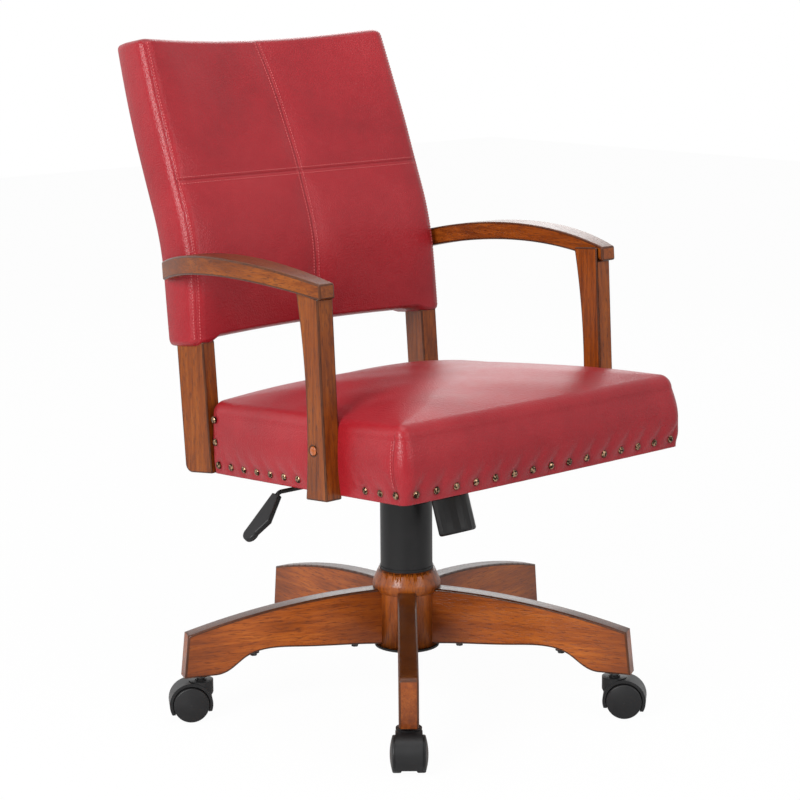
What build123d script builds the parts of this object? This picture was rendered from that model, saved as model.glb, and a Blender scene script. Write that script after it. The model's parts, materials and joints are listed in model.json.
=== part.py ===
"""Swivel armchair: upholstered seat and back on a wooden frame, gas lift, five wooden legs on casters."""

import math
import os

from build123d import *

# Frame: origin on the floor under the column, +Z up, the sitter faces -Y, millimetres and degrees.

# Clearances
running_gap = 0.05
press_gap = 0.02
soft_gap = 0.3
cover_gap = 0.6

# Base legs
leg_count = 5
first_leg_angle = -131.8
leg_thickness = 27.0
leg_root_top = 166.0
leg_crown_r = 186.0
leg_crown_top = 154.5
leg_tip_r = 332.0
leg_tip_top = 124.5
leg_tip_lean = 6.5
leg_root_bottom = 83.0
leg_arch_r = 160.0
leg_arch_bottom = 92.0
leg_knee_r = 243.0
leg_knee_bottom = 85.0
leg_foot_r = 287.0
leg_foot_z = 63.0
leg_edge_round = 3.0
leg_root_slope = 0.12
tenon_depth = 11.0
tenon_width = 15.0
tenon_bottom = 98.0
tenon_height = 46.0
tenon_gap = 0.1

# Screws under the legs
screw_radii = (79.0, 229.0)
screw_seat_z = (87.0, 89.0)
screw_shank_r = 2.5
screw_length = 26.0
screw_head_r = 5.0
screw_head_height = 4.0
washer_r = 8.0
washer_thickness = 1.4

# Hub
hub_r = 44.6
hub_bottom = 80.0
hub_neck_z = 159.0
hub_bead_r = 49.0
hub_bead_z = 168.0
hub_shoulder_r = 47.0
hub_shoulder_z = 177.0
hub_top_r = 40.5
hub_top = 192.0
socket_r = 28.0
socket_flange_r = 46.5
socket_flange = 3.0

# Gas lift
tube_r = 25.0
tube_wall = 2.0
tube_floor = 4.0
tube_top = 270.0
bush_length = 65.0
bush_flange = 2.0
cylinder_r = 14.0
cylinder_wall = 2.0
cylinder_bottom = 110.0
cylinder_cap = 12.0
cylinder_top = 328.0
rod_r = 5.0
rod_shoulder_r = 9.0
rod_shoulder = 4.0
bearing_r = 12.0
bearing_height = 5.0
piston_bottom = 200.0
piston_height = 10.0
button_r = 4.0
button_length = 16.0
button_round = 1.2

# Telescopic column cover
cover_r = 37.4
cover_wall = 2.4
cover_floor = 2.0
cover_top = 292.0
cover_lip_r = 38.6
cover_lip_height = 4.0
cover_overlap = 86.0

# Casters
wheel_r = 25.0
wheel_width = 15.6
wheel_round = 2.5
wheel_dome = 3.2
web_half = 9.4
wheel_side_gap = 0.6
wheel_gap = 1.2
hood_wall = 4.3
hood_half = 18.0
hood_lip_angle = -28.0
hood_heel_angle = 200.0
caster_trail = 14.6
caster_setback = 25.6
caster_stem_r = leg_tip_r - caster_setback
caster_turns = (0.0, 10.0, 0.0, 0.0, -10.0)
boss_r = 17.5
boss_top = 56.5
boss_bottom = 39.0
boss_toe_z = 26.0
axle_r = 3.0
axle_length = 42.0
stem_r = 5.5
stem_top = 96.0
stem_bottom = 45.0
stem_collar_r = 8.0
stem_collar = 1.2
sleeve_r = 7.5
sleeve_length = 36.0
sleeve_flange_r = 11.0
sleeve_flange = 1.5

# Seat frame of reference, tipped back about the column axis
seat_tip = 4.6
seat_bottom = 352.4

# Seat plan, in the seat frame
seat_front_y = -287.9
seat_rear_y = 161.0
seat_front_half = 260.0
seat_rear_half = 224.2
seat_side_bow = 1.5
seat_front_bow = 3.0
seat_rear_bow = 20.0
seat_corner_r = 10.0
rail_inset = 10.0
rail_thickness = 22.0
rail_height = 62.0
rail_foot = 1.0
board_recess = 12.0
board_thickness = 12.0

# Seat cushion: drawn-in hem, full side, rounded shoulder and crown
hem_inset = 0.6
nail_line = 12.5
side_full_z = 30.0
shoulder_z = 82.0
shoulder_inset = 3.0
shoulder_r = 22.0
shoulder_turn = 80.0
shoulder_steps = 5
crown_rise = 28.0
crown_span = 130.0
crown_steps = 4

# Upholstery nails
nail_r = 4.8
nail_height = 2.8
nail_front_count = 15
nail_front_pitch = 34.4
nail_side_ahead = (-270.0, -238.0, -206.0)
nail_side_behind_first = -88.0
nail_side_behind_count = 8
nail_side_pitch = 33.0
nail_column_pitch = 32.0
nail_column_count = 2
nail_column_shift = 4.0

# Rear posts
post_outer_x = 223.4
post_width = 26.0
post_front_y = 162.2
post_depth = 50.0
post_toe = 11.0
post_foot_z = -2.0
post_foot_round = 12.0
stile_inner_x = 190.0
stile_width = 22.0
stile_offset = 22.0
stile_depth = 36.0
stile_end = 392.0

# Back cushion, measured along its curved front edge
back_bottom_z = 186.0
back_front_y = 160.0
back_bend_z = 272.0
back_bend_r = 350.0
back_lean = 16.5
back_length = 441.0
back_thickness = 76.0
back_fullness = 7.0
back_top_tilt = 7.0
back_bottom_half = 230.5
back_top_half = 219.5
back_sag_bottom = 24.0
back_sag_middle = 12.0
back_sag_top = 35.0
back_rear_bulge = 24.0
back_corner_r = 13.0
back_edge_inset = 9.0
back_edge_round = 12.0
back_board_thickness = 12.0
back_board_offset = 42.0
back_board_margin = 28.0
back_sections = 9

# Arms
arm_post_in = 247.5
arm_post_out = 274.5
arm_post_foot_z = -5.5
arm_post_front = -150.0
arm_post_front_top = -158.0
arm_post_rear = -107.0
arm_post_waist_y = -121.0
arm_post_waist_z = 165.0
arm_post_rear_top = -113.0
arm_rail_nose_y = -166.0
arm_rail_tail_y = 214.0
arm_rail_crown_y = 60.0
arm_rail_nose_top = 279.0
arm_rail_crown_top = 315.0
arm_rail_tail_top = 300.0
arm_rail_depth = 26.5
arm_rail_nose_depth = 21.0
arm_rail_nose_in = 250.5
arm_rail_nose_out = 276.5
arm_rail_bow_y = 60.0
arm_rail_bow_in = 252.0
arm_rail_bow_out = 292.5
arm_rail_tail_in = 228.8
arm_rail_tail_out = 246.0
arm_rail_round = 3.0
plug_y = -129.0
plug_z = 61.0
plug_r = 6.0
plug_proud = 0.8
plug_depth = 7.0

# Frame bolts
bolt_r = 3.5
bolt_head_r = 6.0
bolt_head = 4.0
arm_bolt_end_x = 222.0
post_bolt_z = (22.0, 48.0)
post_bolt_reach = 28.0
rail_bolt_y = 200.0
rail_bolt_end_x = 196.0

# Tilt mechanism
plate_half_x = 85.0
plate_front_y = -122.0
plate_rear_y = 98.0
plate_thickness = 3.0
plate_corner_r = 15.0
plate_window_x = 44.0
plate_window_front = -30.0
plate_window_rear = 52.0
plate_bolt_x = 68.0
plate_bolt_front_y = -100.0
plate_bolt_rear_y = 76.0
plate_bolt_r = 4.0
plate_bolt_head_r = 7.0
plate_bolt_head = 5.0
pivot_y = -29.0
pivot_z = -13.0
pivot_r = 5.0
ear_r = 12.0
ear_front_y = -56.0
ear_rear_y = -2.0
ear_thickness = 3.0
ear_gap = 0.6
housing_half = 38.0
housing_wall = 3.0
housing_floor_z = 304.0
housing_rear_y = 44.0
housing_step_y = -46.0
housing_tongue_front_y = -122.0
housing_rear_top = 328.0
cone_r = 19.0
cone_top = 326.0

# Tension knob and spring on a bolt that hangs from the seat plate
tension_y = -72.7
tension_lean = 14.4
tension_bolt_r = 5.0
tension_bolt_head_r = 9.0
tension_bolt_head = 6.0
tension_bolt_drop = 2.7
tension_bolt_top = 1.6
tongue_reach = 47.0
tongue_slot_gap = 1.2
tongue_slot_travel = 9.0
knob_reach = 63.4
knob_length = 48.0
knob_r = 26.5
knob_wall = 3.5
knob_floor = 5.0
knob_round = 4.0
spring_r = 15.0
spring_wire_r = 2.5
spring_turns = 6

# Height lever
lever_y = 2.0
lever_z = 340.0
lever_r = 3.0
lever_inner_x = 9.0
lever_elbow_x = -231.0
lever_elbow_r = 10.0
lever_droop = 45.0
lever_tang = 46.0
lever_slot_gap = 0.4
paddle_start = 5.0
paddle_belly = 46.0
paddle_heel = 68.0
paddle_length = 82.0
paddle_root_half = 7.0
paddle_front_half = 20.0
paddle_rear_half = 11.0
paddle_thickness = 9.0
paddle_round = 2.6


def seat_place(shape):
    """Carry a shape from the tipped seat frame into the chair's frame."""
    return Pos(0, 0, seat_bottom) * Rot(-seat_tip, 0, 0) * shape


def seat_to_chair(y, z):
    """Return the (y, z) in the chair's frame of a point of the seat frame's middle plane."""
    tip = math.radians(seat_tip)
    return (
        y * math.cos(tip) + z * math.sin(tip),
        seat_bottom - y * math.sin(tip) + z * math.cos(tip),
    )


def leg_place(index, shape):
    """Turn a shape modelled along +X to the direction of one leg."""
    return Rot(0, 0, first_leg_angle + index * 360 / leg_count) * shape


def tube(outer, inner, bottom, top):
    """Return an upright tube on the column axis."""
    ring = Circle(outer) - Circle(inner)
    return Pos(0, 0, bottom) * extrude(ring, top - bottom)


def rod(radius, bottom, top):
    """Return an upright round bar on the column axis."""
    return Pos(0, 0, bottom) * extrude(Circle(radius), top - bottom)


def bar_x(radius, x_from, x_to, y, z):
    """Return a round bar along X."""
    return Pos(x_from, y, z) * extrude(Plane.YZ * Circle(radius), x_to - x_from)


def bar_y(radius, y_from, y_to, x, z):
    """Return a round bar along Y."""
    return Pos(x, y_to, z) * extrude(Plane.XZ * Circle(radius), y_to - y_from)


def mirrored(shape):
    """Return the copy of a right-hand piece for the other side."""
    return mirror(shape, Plane.YZ)


# Base: hub and legs

def hub_body():
    """Turned hub with a bead under its shoulder."""
    outline = [
        Line((socket_r + press_gap, hub_bottom), (hub_r, hub_bottom)),
        Line((hub_r, hub_bottom), (hub_r, hub_neck_z)),
        ThreePointArc((hub_r, hub_neck_z), (hub_bead_r, hub_bead_z), (hub_shoulder_r, hub_shoulder_z)),
        Line((hub_shoulder_r, hub_shoulder_z), (hub_top_r, hub_top)),
        Line((hub_top_r, hub_top), (socket_r + press_gap, hub_top)),
        Line((socket_r + press_gap, hub_top), (socket_r + press_gap, hub_bottom)),
    ]
    return revolve(Plane.XZ * make_face(outline), Axis.Z)


def tenon(gap):
    """Tongue of a leg that enters the hub, or its mortise when the gap is positive."""
    start = hub_r - tenon_depth - gap
    length = leg_thickness
    width = tenon_width + 2 * gap
    height = tenon_height + 2 * gap
    align = (Align.MIN, Align.CENTER, Align.MIN)
    return Pos(start, 0, tenon_bottom - gap) * Box(length, width, height, align=align)


def hub():
    """Hub with one mortise for each leg."""
    body = hub_body()
    for index in range(leg_count):
        body -= leg_place(index, tenon(tenon_gap))
    return body


def leg():
    """One arched leg with its tenon, socket bore and screw seats."""
    root = hub_r - tenon_depth
    tip_top = (leg_tip_r - leg_tip_lean, leg_tip_top)
    underside = Spline(
        (root, leg_root_bottom),
        (leg_arch_r, leg_arch_bottom),
        (leg_knee_r, leg_knee_bottom),
        (leg_foot_r, leg_foot_z),
        tangents=[(1, leg_root_slope), (1, 0)],
    )
    outline = [
        underside,
        Line((leg_foot_r, leg_foot_z), (leg_tip_r, leg_foot_z)),
        Line((leg_tip_r, leg_foot_z), tip_top),
        ThreePointArc(tip_top, (leg_crown_r, leg_crown_top), (root, leg_root_top)),
        Line((root, leg_root_top), (root, leg_root_bottom)),
    ]
    blank = extrude(Plane.XZ * make_face(outline), leg_thickness / 2, both=True)
    sharp = [
        edge
        for edge in blank.edges()
        if abs(abs(edge.center().Y) - leg_thickness / 2) < 0.01 and edge.center().X > root + 1
    ]
    blank = fillet(sharp, leg_edge_round)
    blank -= rod(hub_r, 0, hub_neck_z)
    blank -= hub_body()
    blank += tenon(0)
    blank -= Pos(caster_stem_r, 0, 0) * rod(sleeve_r + press_gap, 0, leg_foot_z + sleeve_length)
    for radius, seat in zip(screw_radii, screw_seat_z):
        blank -= Pos(radius, 0, 0) * rod(washer_r + press_gap, 0, seat)
        blank -= Pos(radius, 0, 0) * rod(screw_shank_r + press_gap, 0, seat + screw_length)
    return blank


def leg_screw(seat):
    """Washer-head screw whose washer bears on a seat at the given height."""
    head = Pos(0, 0, seat - washer_thickness - screw_head_height) * extrude(
        RegularPolygon(screw_head_r, 6), screw_head_height
    )
    washer = rod(washer_r, seat - washer_thickness, seat)
    shank = rod(screw_shank_r, seat - washer_thickness, seat + screw_length)
    return head + washer + shank


def leg_screws():
    """All the screws under the legs."""
    screws = []
    for index in range(leg_count):
        for radius, seat in zip(screw_radii, screw_seat_z):
            screws.append(leg_place(index, Pos(radius, 0, 0) * leg_screw(seat)))
    return Compound(children=screws)


def hub_socket():
    """Steel liner of the hub with a flange under the wood."""
    bottom = hub_bottom - socket_flange
    flange = tube(socket_flange_r, tube_r + press_gap, bottom, hub_bottom)
    return flange + tube(socket_r, tube_r + press_gap, bottom, hub_top)


def caster_sockets():
    """Steel sleeves in the feet of the legs."""
    inner = stem_r + running_gap
    flange = tube(sleeve_flange_r, inner, leg_foot_z - sleeve_flange, leg_foot_z)
    sleeve = flange + tube(sleeve_r, inner, leg_foot_z - sleeve_flange, leg_foot_z + sleeve_length)
    sleeves = [leg_place(index, Pos(caster_stem_r, 0, 0) * sleeve) for index in range(leg_count)]
    return Compound(children=sleeves)


# Casters, modelled with the stem on the Z axis and the wheels trailing towards +X

def hood_arc_point(radius, angle):
    """Point of a circle about the wheel centre, in the caster's XZ plane."""
    turn = math.radians(angle)
    return (caster_trail + radius * math.cos(turn), wheel_r + radius * math.sin(turn))


def caster_hood():
    """Hood over both wheels with the middle web and the stem boss."""
    pocket_r = wheel_r + wheel_gap
    outer_r = pocket_r + hood_wall
    lip = hood_arc_point(outer_r, hood_lip_angle)
    heel = hood_arc_point(outer_r, hood_heel_angle)
    crest = hood_arc_point(outer_r, 90)
    dome = make_face([ThreePointArc(lip, crest, heel), Line(heel, lip)])
    cheek = make_face(
        Polyline(
            (-boss_r, boss_top - stem_collar),
            (-boss_r, boss_bottom),
            (boss_bottom - boss_toe_z - boss_r, boss_toe_z),
            (caster_trail, boss_toe_z),
            (caster_trail, wheel_r + pocket_r),
            close=True,
        )
    )
    body = extrude(Plane.XZ * dome, hood_half, both=True)
    neck = extrude(Plane.XZ * cheek, boss_r, both=True) & rod(boss_r, 0, boss_top)
    body += neck + rod(boss_r, boss_bottom, boss_top)
    pocket = bar_y(pocket_r, web_half, hood_half + wheel_width, caster_trail, wheel_r)
    body -= pocket
    body -= mirror(pocket, Plane.XZ)
    body -= bar_y(axle_r + press_gap, -hood_half, hood_half, caster_trail, wheel_r)
    body -= rod(stem_r + press_gap, stem_bottom, boss_top)
    return body


def caster_pins():
    """Swivel stem and wheel axle of one caster."""
    stem = rod(stem_r, stem_bottom, stem_top) + rod(stem_collar_r, boss_top, boss_top + stem_collar)
    axle = bar_y(axle_r, -axle_length / 2, axle_length / 2, caster_trail, wheel_r)
    return Compound(children=[stem, axle])


def caster_wheel():
    """One wheel on the +Y side, with a domed cover and a blind axle bore."""
    inner = web_half + wheel_side_gap
    outer = inner + wheel_width
    brim = outer - wheel_dome
    round_sink = wheel_round * (1 - math.sin(math.pi / 4))
    dome_half = wheel_r - wheel_round
    dome_r = (dome_half**2 + wheel_dome**2) / (2 * wheel_dome)
    dome_knee = outer - dome_r + math.sqrt(dome_r**2 - dome_half**2 / 4)
    bore = axle_r + running_gap
    bore_end = axle_length / 2 + wheel_side_gap
    outline = [
        Line((bore, inner), (wheel_r - wheel_round, inner)),
        ThreePointArc(
            (wheel_r - wheel_round, inner),
            (wheel_r - round_sink, inner + round_sink),
            (wheel_r, inner + wheel_round),
        ),
        Line((wheel_r, inner + wheel_round), (wheel_r, brim - wheel_round)),
        ThreePointArc(
            (wheel_r, brim - wheel_round),
            (wheel_r - round_sink, brim - round_sink),
            (dome_half, brim),
        ),
        ThreePointArc((dome_half, brim), (dome_half / 2, dome_knee), (0, outer)),
        Line((0, outer), (0, bore_end)),
        Line((0, bore_end), (bore, bore_end)),
        Line((bore, bore_end), (bore, inner)),
    ]
    turned = revolve(make_face(outline), Axis.Y)
    return Pos(caster_trail, 0, wheel_r) * turned


# Gas lift and column cover

def gas_tube():
    """Outer tube of the gas lift with its floor."""
    bottom = hub_bottom - socket_flange
    shell = tube(tube_r, tube_r - tube_wall, bottom, tube_top)
    return shell + tube(tube_r, rod_r + running_gap, bottom, bottom + tube_floor)


def guide_bush():
    """Plastic bush in the mouth of the tube that guides the cylinder."""
    inner = cylinder_r + running_gap
    sleeve = tube(tube_r - tube_wall - press_gap, inner, tube_top - bush_length, tube_top)
    return sleeve + tube(tube_r, inner, tube_top, tube_top + bush_flange)


def bearing_floor():
    """Height of the tube's floor, on which the thrust bearing lies."""
    return hub_bottom - socket_flange + tube_floor


def thrust_bearing():
    """Thrust bearing between the tube's floor and the rod's shoulder."""
    return tube(bearing_r, rod_r + running_gap, bearing_floor(), bearing_floor() + bearing_height)


def piston_rod():
    """Piston rod that stands on the thrust bearing."""
    shoulder = bearing_floor() + bearing_height
    body = rod(rod_r, hub_bottom - socket_flange, piston_bottom + piston_height)
    body += rod(rod_shoulder_r, shoulder, shoulder + rod_shoulder)
    return body + rod(
        cylinder_r - cylinder_wall - running_gap, piston_bottom, piston_bottom + piston_height
    )


def button_hole_bottom():
    """Bottom of the narrow bore for the valve button."""
    return cylinder_top - cylinder_cap


def gas_cylinder():
    """Cylinder that slides on the piston rod and carries the seat."""
    bore_r = cylinder_r - cylinder_wall
    body = rod(cylinder_r, cylinder_bottom, cylinder_top)
    body -= rod(bore_r, cylinder_bottom + cylinder_cap, button_hole_bottom())
    body -= rod(rod_r + running_gap, cylinder_bottom, cylinder_bottom + cylinder_cap)
    return body - rod(button_r + running_gap, button_hole_bottom(), cylinder_top)


def gas_button():
    """Valve button under the inner end of the lever."""
    top = lever_z - lever_r - soft_gap
    blank = rod(button_r, top - button_length, top)
    return chamfer(blank.faces().sort_by(Axis.Z)[-1].edges(), button_round)


def cover_lower():
    """Lower cover, standing on the hub round the tube."""
    floor = tube(cover_r, tube_r + soft_gap, hub_top, hub_top + cover_floor)
    wall = tube(cover_r, cover_r - cover_wall, hub_top, cover_top)
    lip = tube(cover_lip_r, cover_r - cover_wall, hub_top, hub_top + cover_lip_height)
    return floor + wall + lip


def cover_upper():
    """Upper cover, hanging from the tilt housing inside the lower one."""
    outer = cover_r - cover_wall - cover_gap
    wall = tube(outer, outer - cover_wall, cover_top - cover_overlap, housing_floor_z)
    roof = tube(outer, cylinder_r + soft_gap, housing_floor_z - cover_floor, housing_floor_z)
    return wall + roof


# Tilt mechanism

def tension_axis():
    """Return the anchor and the downward direction of the tension bolt, in the chair's YZ plane."""
    y, z = seat_to_chair(tension_y, board_recess - plate_thickness)
    lean = math.radians(tension_lean + seat_tip)
    return (y, z), (-math.sin(lean), -math.cos(lean))


def along_tension(reach):
    """Point of the tension bolt's axis at a distance below its anchor."""
    (y, z), (dy, dz) = tension_axis()
    return (y + reach * dy, z + reach * dz)


def tension_place(shape):
    """Carry a shape whose bolt axis is -Z from the origin to the tension bolt."""
    y, z = tension_axis()[0]
    return Pos(0, y, z) * Rot(-(tension_lean + seat_tip), 0, 0) * shape


def tongue_height(y):
    """Height of the underside of the housing's tongue, square to the tension bolt."""
    at_y, at_z = along_tension(tongue_reach)
    return at_z + (at_y - y) * math.tan(math.radians(tension_lean + seat_tip))


def tilt_housing():
    """Pressed channel with the cone for the cylinder and the spring tongue in front."""
    pin_y, pin_z = seat_to_chair(pivot_y, pivot_z)
    step_y = housing_step_y - (tongue_height(housing_step_y) - housing_floor_z)
    front_z = tongue_height(housing_tongue_front_y)
    under = [
        (housing_rear_y, housing_floor_z),
        (housing_step_y, housing_floor_z),
        (step_y, tongue_height(step_y)),
        (housing_tongue_front_y, front_z),
    ]
    over = [(y, z + housing_wall) for y, z in reversed(under)]
    floor = extrude(Plane.YZ * make_face(Polyline(*under, *over, close=True)), housing_half, both=True)
    rim = pin_z + ear_r
    side = make_face(
        Polyline(
            *under,
            (housing_tongue_front_y, front_z + 2 * housing_wall),
            (pin_y - ear_r, rim),
            (pin_y + ear_r, rim),
            (housing_rear_y, housing_rear_top),
            close=True,
        )
    )
    wall = Pos(housing_half - housing_wall, 0, 0) * extrude(Plane.YZ * side, housing_wall)
    body = floor + wall + mirrored(wall)
    body += rod(cone_r, housing_floor_z, cone_top)
    body -= rod(cylinder_r + press_gap, housing_floor_z - housing_wall, cone_top)
    body -= bar_x(pivot_r + press_gap, -2 * housing_half, 2 * housing_half, pin_y, pin_z)
    body -= bar_x(lever_r + lever_slot_gap, -2 * housing_half, 0, lever_y, lever_z)
    slot_length = tongue_slot_travel + 2 * (tension_bolt_r + tongue_slot_gap)
    slot = Rot(0, 0, 90) * SlotOverall(slot_length, 2 * (tension_bolt_r + tongue_slot_gap))
    slot_cut = extrude(Pos(0, -tongue_slot_travel / 2) * slot, 4 * housing_wall, both=True)
    return body - tension_place(Pos(0, 0, -tongue_reach) * slot_cut)


def tilt_pin():
    """Cross pin on which the seat plate rocks."""
    pin_y, pin_z = seat_to_chair(pivot_y, pivot_z)
    end = housing_half + ear_gap + 2 * ear_thickness
    return bar_x(pivot_r, -end, end, pin_y, pin_z)


def plate_ear():
    """Ear of the seat plate on the +X side, in the seat frame."""
    plate_low = board_recess - plate_thickness
    blade = make_face(
        Polyline(
            (ear_front_y, plate_low),
            (pivot_y - ear_r, pivot_z),
            (pivot_y + ear_r, pivot_z),
            (ear_rear_y, plate_low),
            close=True,
        )
    )
    blade += Pos(pivot_y, pivot_z) * Circle(ear_r)
    blade -= Pos(pivot_y, pivot_z) * Circle(pivot_r + running_gap)
    return Pos(housing_half + ear_gap, 0, 0) * extrude(Plane.YZ * blade, ear_thickness)


def plate_bolt_points():
    """Centres of the bolts that hold the seat plate."""
    return [(x, y) for x in (-plate_bolt_x, plate_bolt_x) for y in (plate_bolt_front_y, plate_bolt_rear_y)]


def seat_plate():
    """Steel plate under the seat with the ears of the tilt pivot."""
    length = plate_rear_y - plate_front_y
    sheet = Pos(0, (plate_rear_y + plate_front_y) / 2) * RectangleRounded(
        2 * plate_half_x, length, plate_corner_r
    )
    window = plate_window_rear - plate_window_front
    sheet -= Pos(0, (plate_window_rear + plate_window_front) / 2) * RectangleRounded(
        plate_window_x, window, plate_corner_r
    )
    for x, y in plate_bolt_points():
        sheet -= Pos(x, y) * Circle(plate_bolt_r + press_gap)
    low = board_recess - plate_thickness
    body = Pos(0, 0, low) * extrude(sheet, plate_thickness)
    body += plate_ear() + mirrored(plate_ear())
    hole = Pos(0, tension_y, low) * Rot(-tension_lean, 0, 0) * Cylinder(
        tension_bolt_r + press_gap, 8 * plate_thickness
    )
    return seat_place(body - hole)


def plate_bolts():
    """Bolts that hold the plate to the seat board."""
    low = board_recess - plate_thickness
    bolts = []
    for x, y in plate_bolt_points():
        head = Pos(0, 0, low - plate_bolt_head) * extrude(
            RegularPolygon(plate_bolt_head_r, 6), plate_bolt_head
        )
        shank = rod(plate_bolt_r, low - plate_bolt_head, board_recess + board_thickness)
        bolts.append(seat_place(Pos(x, y, 0) * (head + shank)))
    return Compound(children=bolts)


def tension_bolt():
    """Bolt that hangs from the plate through the tongue and carries the knob."""
    length = knob_reach + knob_length - knob_floor / 2
    shank = rod(tension_bolt_r, -length, tension_bolt_top)
    collar = rod(tension_bolt_head_r, -tension_bolt_head - tension_bolt_drop, -tension_bolt_drop)
    return tension_place(shank + collar)


def tension_knob():
    """Smooth cup that hides the spring, turned about the bolt."""
    top = -knob_reach
    bottom = -knob_reach - knob_length
    cup = rod(knob_r, bottom, top)
    cup = fillet(cup.faces().sort_by(Axis.Z)[0].edges(), knob_round)
    cup -= rod(knob_r - knob_wall, bottom + knob_floor, top)
    cup -= rod(tension_bolt_r + running_gap, bottom + knob_floor / 2, bottom + knob_floor)
    return tension_place(cup)


def biarc(start, start_way, end, end_way):
    """Return two arcs that join two points along the given directions."""
    span = end - start
    sum_way = start_way + end_way
    bend = 2 * (1 - start_way.dot(end_way))
    reach = span.dot(sum_way)
    arm = (math.sqrt(reach * reach + bend * span.dot(span)) - reach) / bend
    middle = (start + start_way * arm + end - end_way * arm) * 0.5
    first = TangentArc(start, middle, tangent=start_way)
    second = TangentArc(middle, end, tangent=first % 1)
    return [first, second]


def spring_point(turn, pitch):
    """Point and direction of the spring's helix after a number of turns."""
    angle = 2 * math.pi * turn
    point = Vector(spring_r * math.cos(angle), spring_r * math.sin(angle), pitch * turn)
    way = Vector(-spring_r * math.sin(angle), spring_r * math.cos(angle), pitch / (2 * math.pi))
    return point, way.normalized()


def tilt_spring():
    """Compression spring between the tongue and the floor of the knob."""
    top = tongue_reach + spring_wire_r + soft_gap
    bottom = knob_reach + knob_length - knob_floor - spring_wire_r - soft_gap
    pitch = (bottom - top) / spring_turns
    print(f"tilt_spring least gap between turns {pitch - 2 * spring_wire_r:.2f} mm")
    arcs = []
    for quarter in range(4 * spring_turns):
        start, start_way = spring_point(quarter / 4, pitch)
        end, end_way = spring_point((quarter + 1) / 4, pitch)
        arcs += biarc(start, start_way, end, end_way)
    path = Wire(arcs)
    section = Plane(path @ 0, z_dir=path % 0) * Circle(spring_wire_r)
    return tension_place(Pos(0, 0, -bottom) * sweep(section, path=path))


# Height lever

def lever_rod():
    """Bent steel rod through the housing wall, over the valve button."""
    droop = math.radians(lever_droop)
    end = (lever_elbow_x - lever_tang * math.cos(droop), -lever_tang * math.sin(droop))
    path = FilletPolyline(
        (lever_inner_x, lever_y, lever_z),
        (lever_elbow_x, lever_y, lever_z),
        (end[0], lever_y, lever_z + end[1]),
        radius=lever_elbow_r,
    )
    section = Plane(path @ 0, z_dir=path % 0) * Circle(lever_r)
    return sweep(section, path=path)


def lever_paddle():
    """Flat drooping grip on the outer end of the lever."""
    outline = [
        Line((paddle_start, paddle_root_half), (paddle_heel, paddle_rear_half)),
        ThreePointArc((paddle_heel, paddle_rear_half), (paddle_length, 0), (paddle_heel, -paddle_rear_half)),
        Line((paddle_heel, -paddle_rear_half), (paddle_belly, -paddle_front_half)),
        Line((paddle_belly, -paddle_front_half), (paddle_start, -paddle_root_half)),
        Line((paddle_start, -paddle_root_half), (paddle_start, paddle_root_half)),
    ]
    blank = extrude(make_face(outline), paddle_thickness / 2, both=True)
    blank = fillet(blank.faces().sort_by(Axis.Z)[-1].edges(), paddle_round)
    blank = fillet(blank.faces().sort_by(Axis.Z)[0].edges(), paddle_round)
    blank -= bar_x(lever_r + press_gap, 0, lever_tang + press_gap, 0, 0)
    return Pos(lever_elbow_x, lever_y, lever_z) * Rot(0, -lever_droop, 0) * mirrored(blank)


# Seat, in the seat frame

def seat_half_width(y, inset):
    """Half width of the seat's plan at a depth, drawn in by an inset."""
    share = (y - seat_front_y) / (seat_rear_y - seat_front_y)
    chord = seat_front_half + share * (seat_rear_half - seat_front_half)
    return chord + 4 * seat_side_bow * share * (1 - share) - inset


def seat_plan(inset):
    """Plan of the seat: a tapered outline with bowed sides and round corners."""
    front = seat_front_y + inset
    rear = seat_rear_y - inset
    middle = (front + rear) / 2
    front_half = seat_half_width(front, inset)
    rear_half = seat_half_width(rear, inset)
    middle_half = seat_half_width(middle, inset)
    outline = [
        ThreePointArc((-front_half, front), (0, front - seat_front_bow), (front_half, front)),
        ThreePointArc((front_half, front), (middle_half, middle), (rear_half, rear)),
        ThreePointArc((rear_half, rear), (0, rear + seat_rear_bow), (-rear_half, rear)),
        ThreePointArc((-rear_half, rear), (-middle_half, middle), (-front_half, front)),
    ]
    plan = make_face(outline)
    return fillet(plan.vertices(), seat_corner_r)


def seat_slab(inset, bottom, top):
    """Upright slab of the seat's plan."""
    return Pos(0, 0, bottom) * extrude(seat_plan(inset), top - bottom)


def seat_frame():
    """Wooden rails under the upholstery, with holes for the frame bolts."""
    ring = seat_slab(rail_inset, rail_foot, rail_height)
    ring -= seat_slab(rail_inset + rail_thickness, rail_foot, rail_height)
    return seat_place(ring - bolt_cores(press_gap))


def seat_board():
    """Plywood board between the rails that takes the seat plate."""
    board = seat_slab(
        rail_inset + rail_thickness + press_gap, board_recess, board_recess + board_thickness
    )
    for x, y in plate_bolt_points():
        board -= Pos(x, y, 0) * rod(plate_bolt_r + press_gap, 0, board_recess + board_thickness)
    return seat_place(board)


def seat_profile():
    """Heights and insets of the cushion's outline, from the hem up to the crown."""
    profile = [(0.0, 2 * hem_inset), (nail_line, hem_inset), (side_full_z, 0.0)]
    for step in range(shoulder_steps):
        turn = math.radians(shoulder_turn) * step / (shoulder_steps - 1)
        height = shoulder_z + shoulder_r * math.sin(turn)
        profile.append((height, shoulder_inset + shoulder_r * (1 - math.cos(turn))))
    brow_z, brow_inset = profile[-1]
    for step in range(1, crown_steps + 1):
        share = step / crown_steps
        rise = crown_rise * share * (2 - share)
        profile.append((brow_z + rise, brow_inset + crown_span * share))
    return profile


def side_inset(height):
    """Inset of the cushion's side at a height."""
    profile = seat_profile()
    for (low, low_inset), (high, high_inset) in zip(profile, profile[1:]):
        if low <= height <= high:
            return low_inset + (high_inset - low_inset) * (height - low) / (high - low)
    return profile[-1][1]


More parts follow.
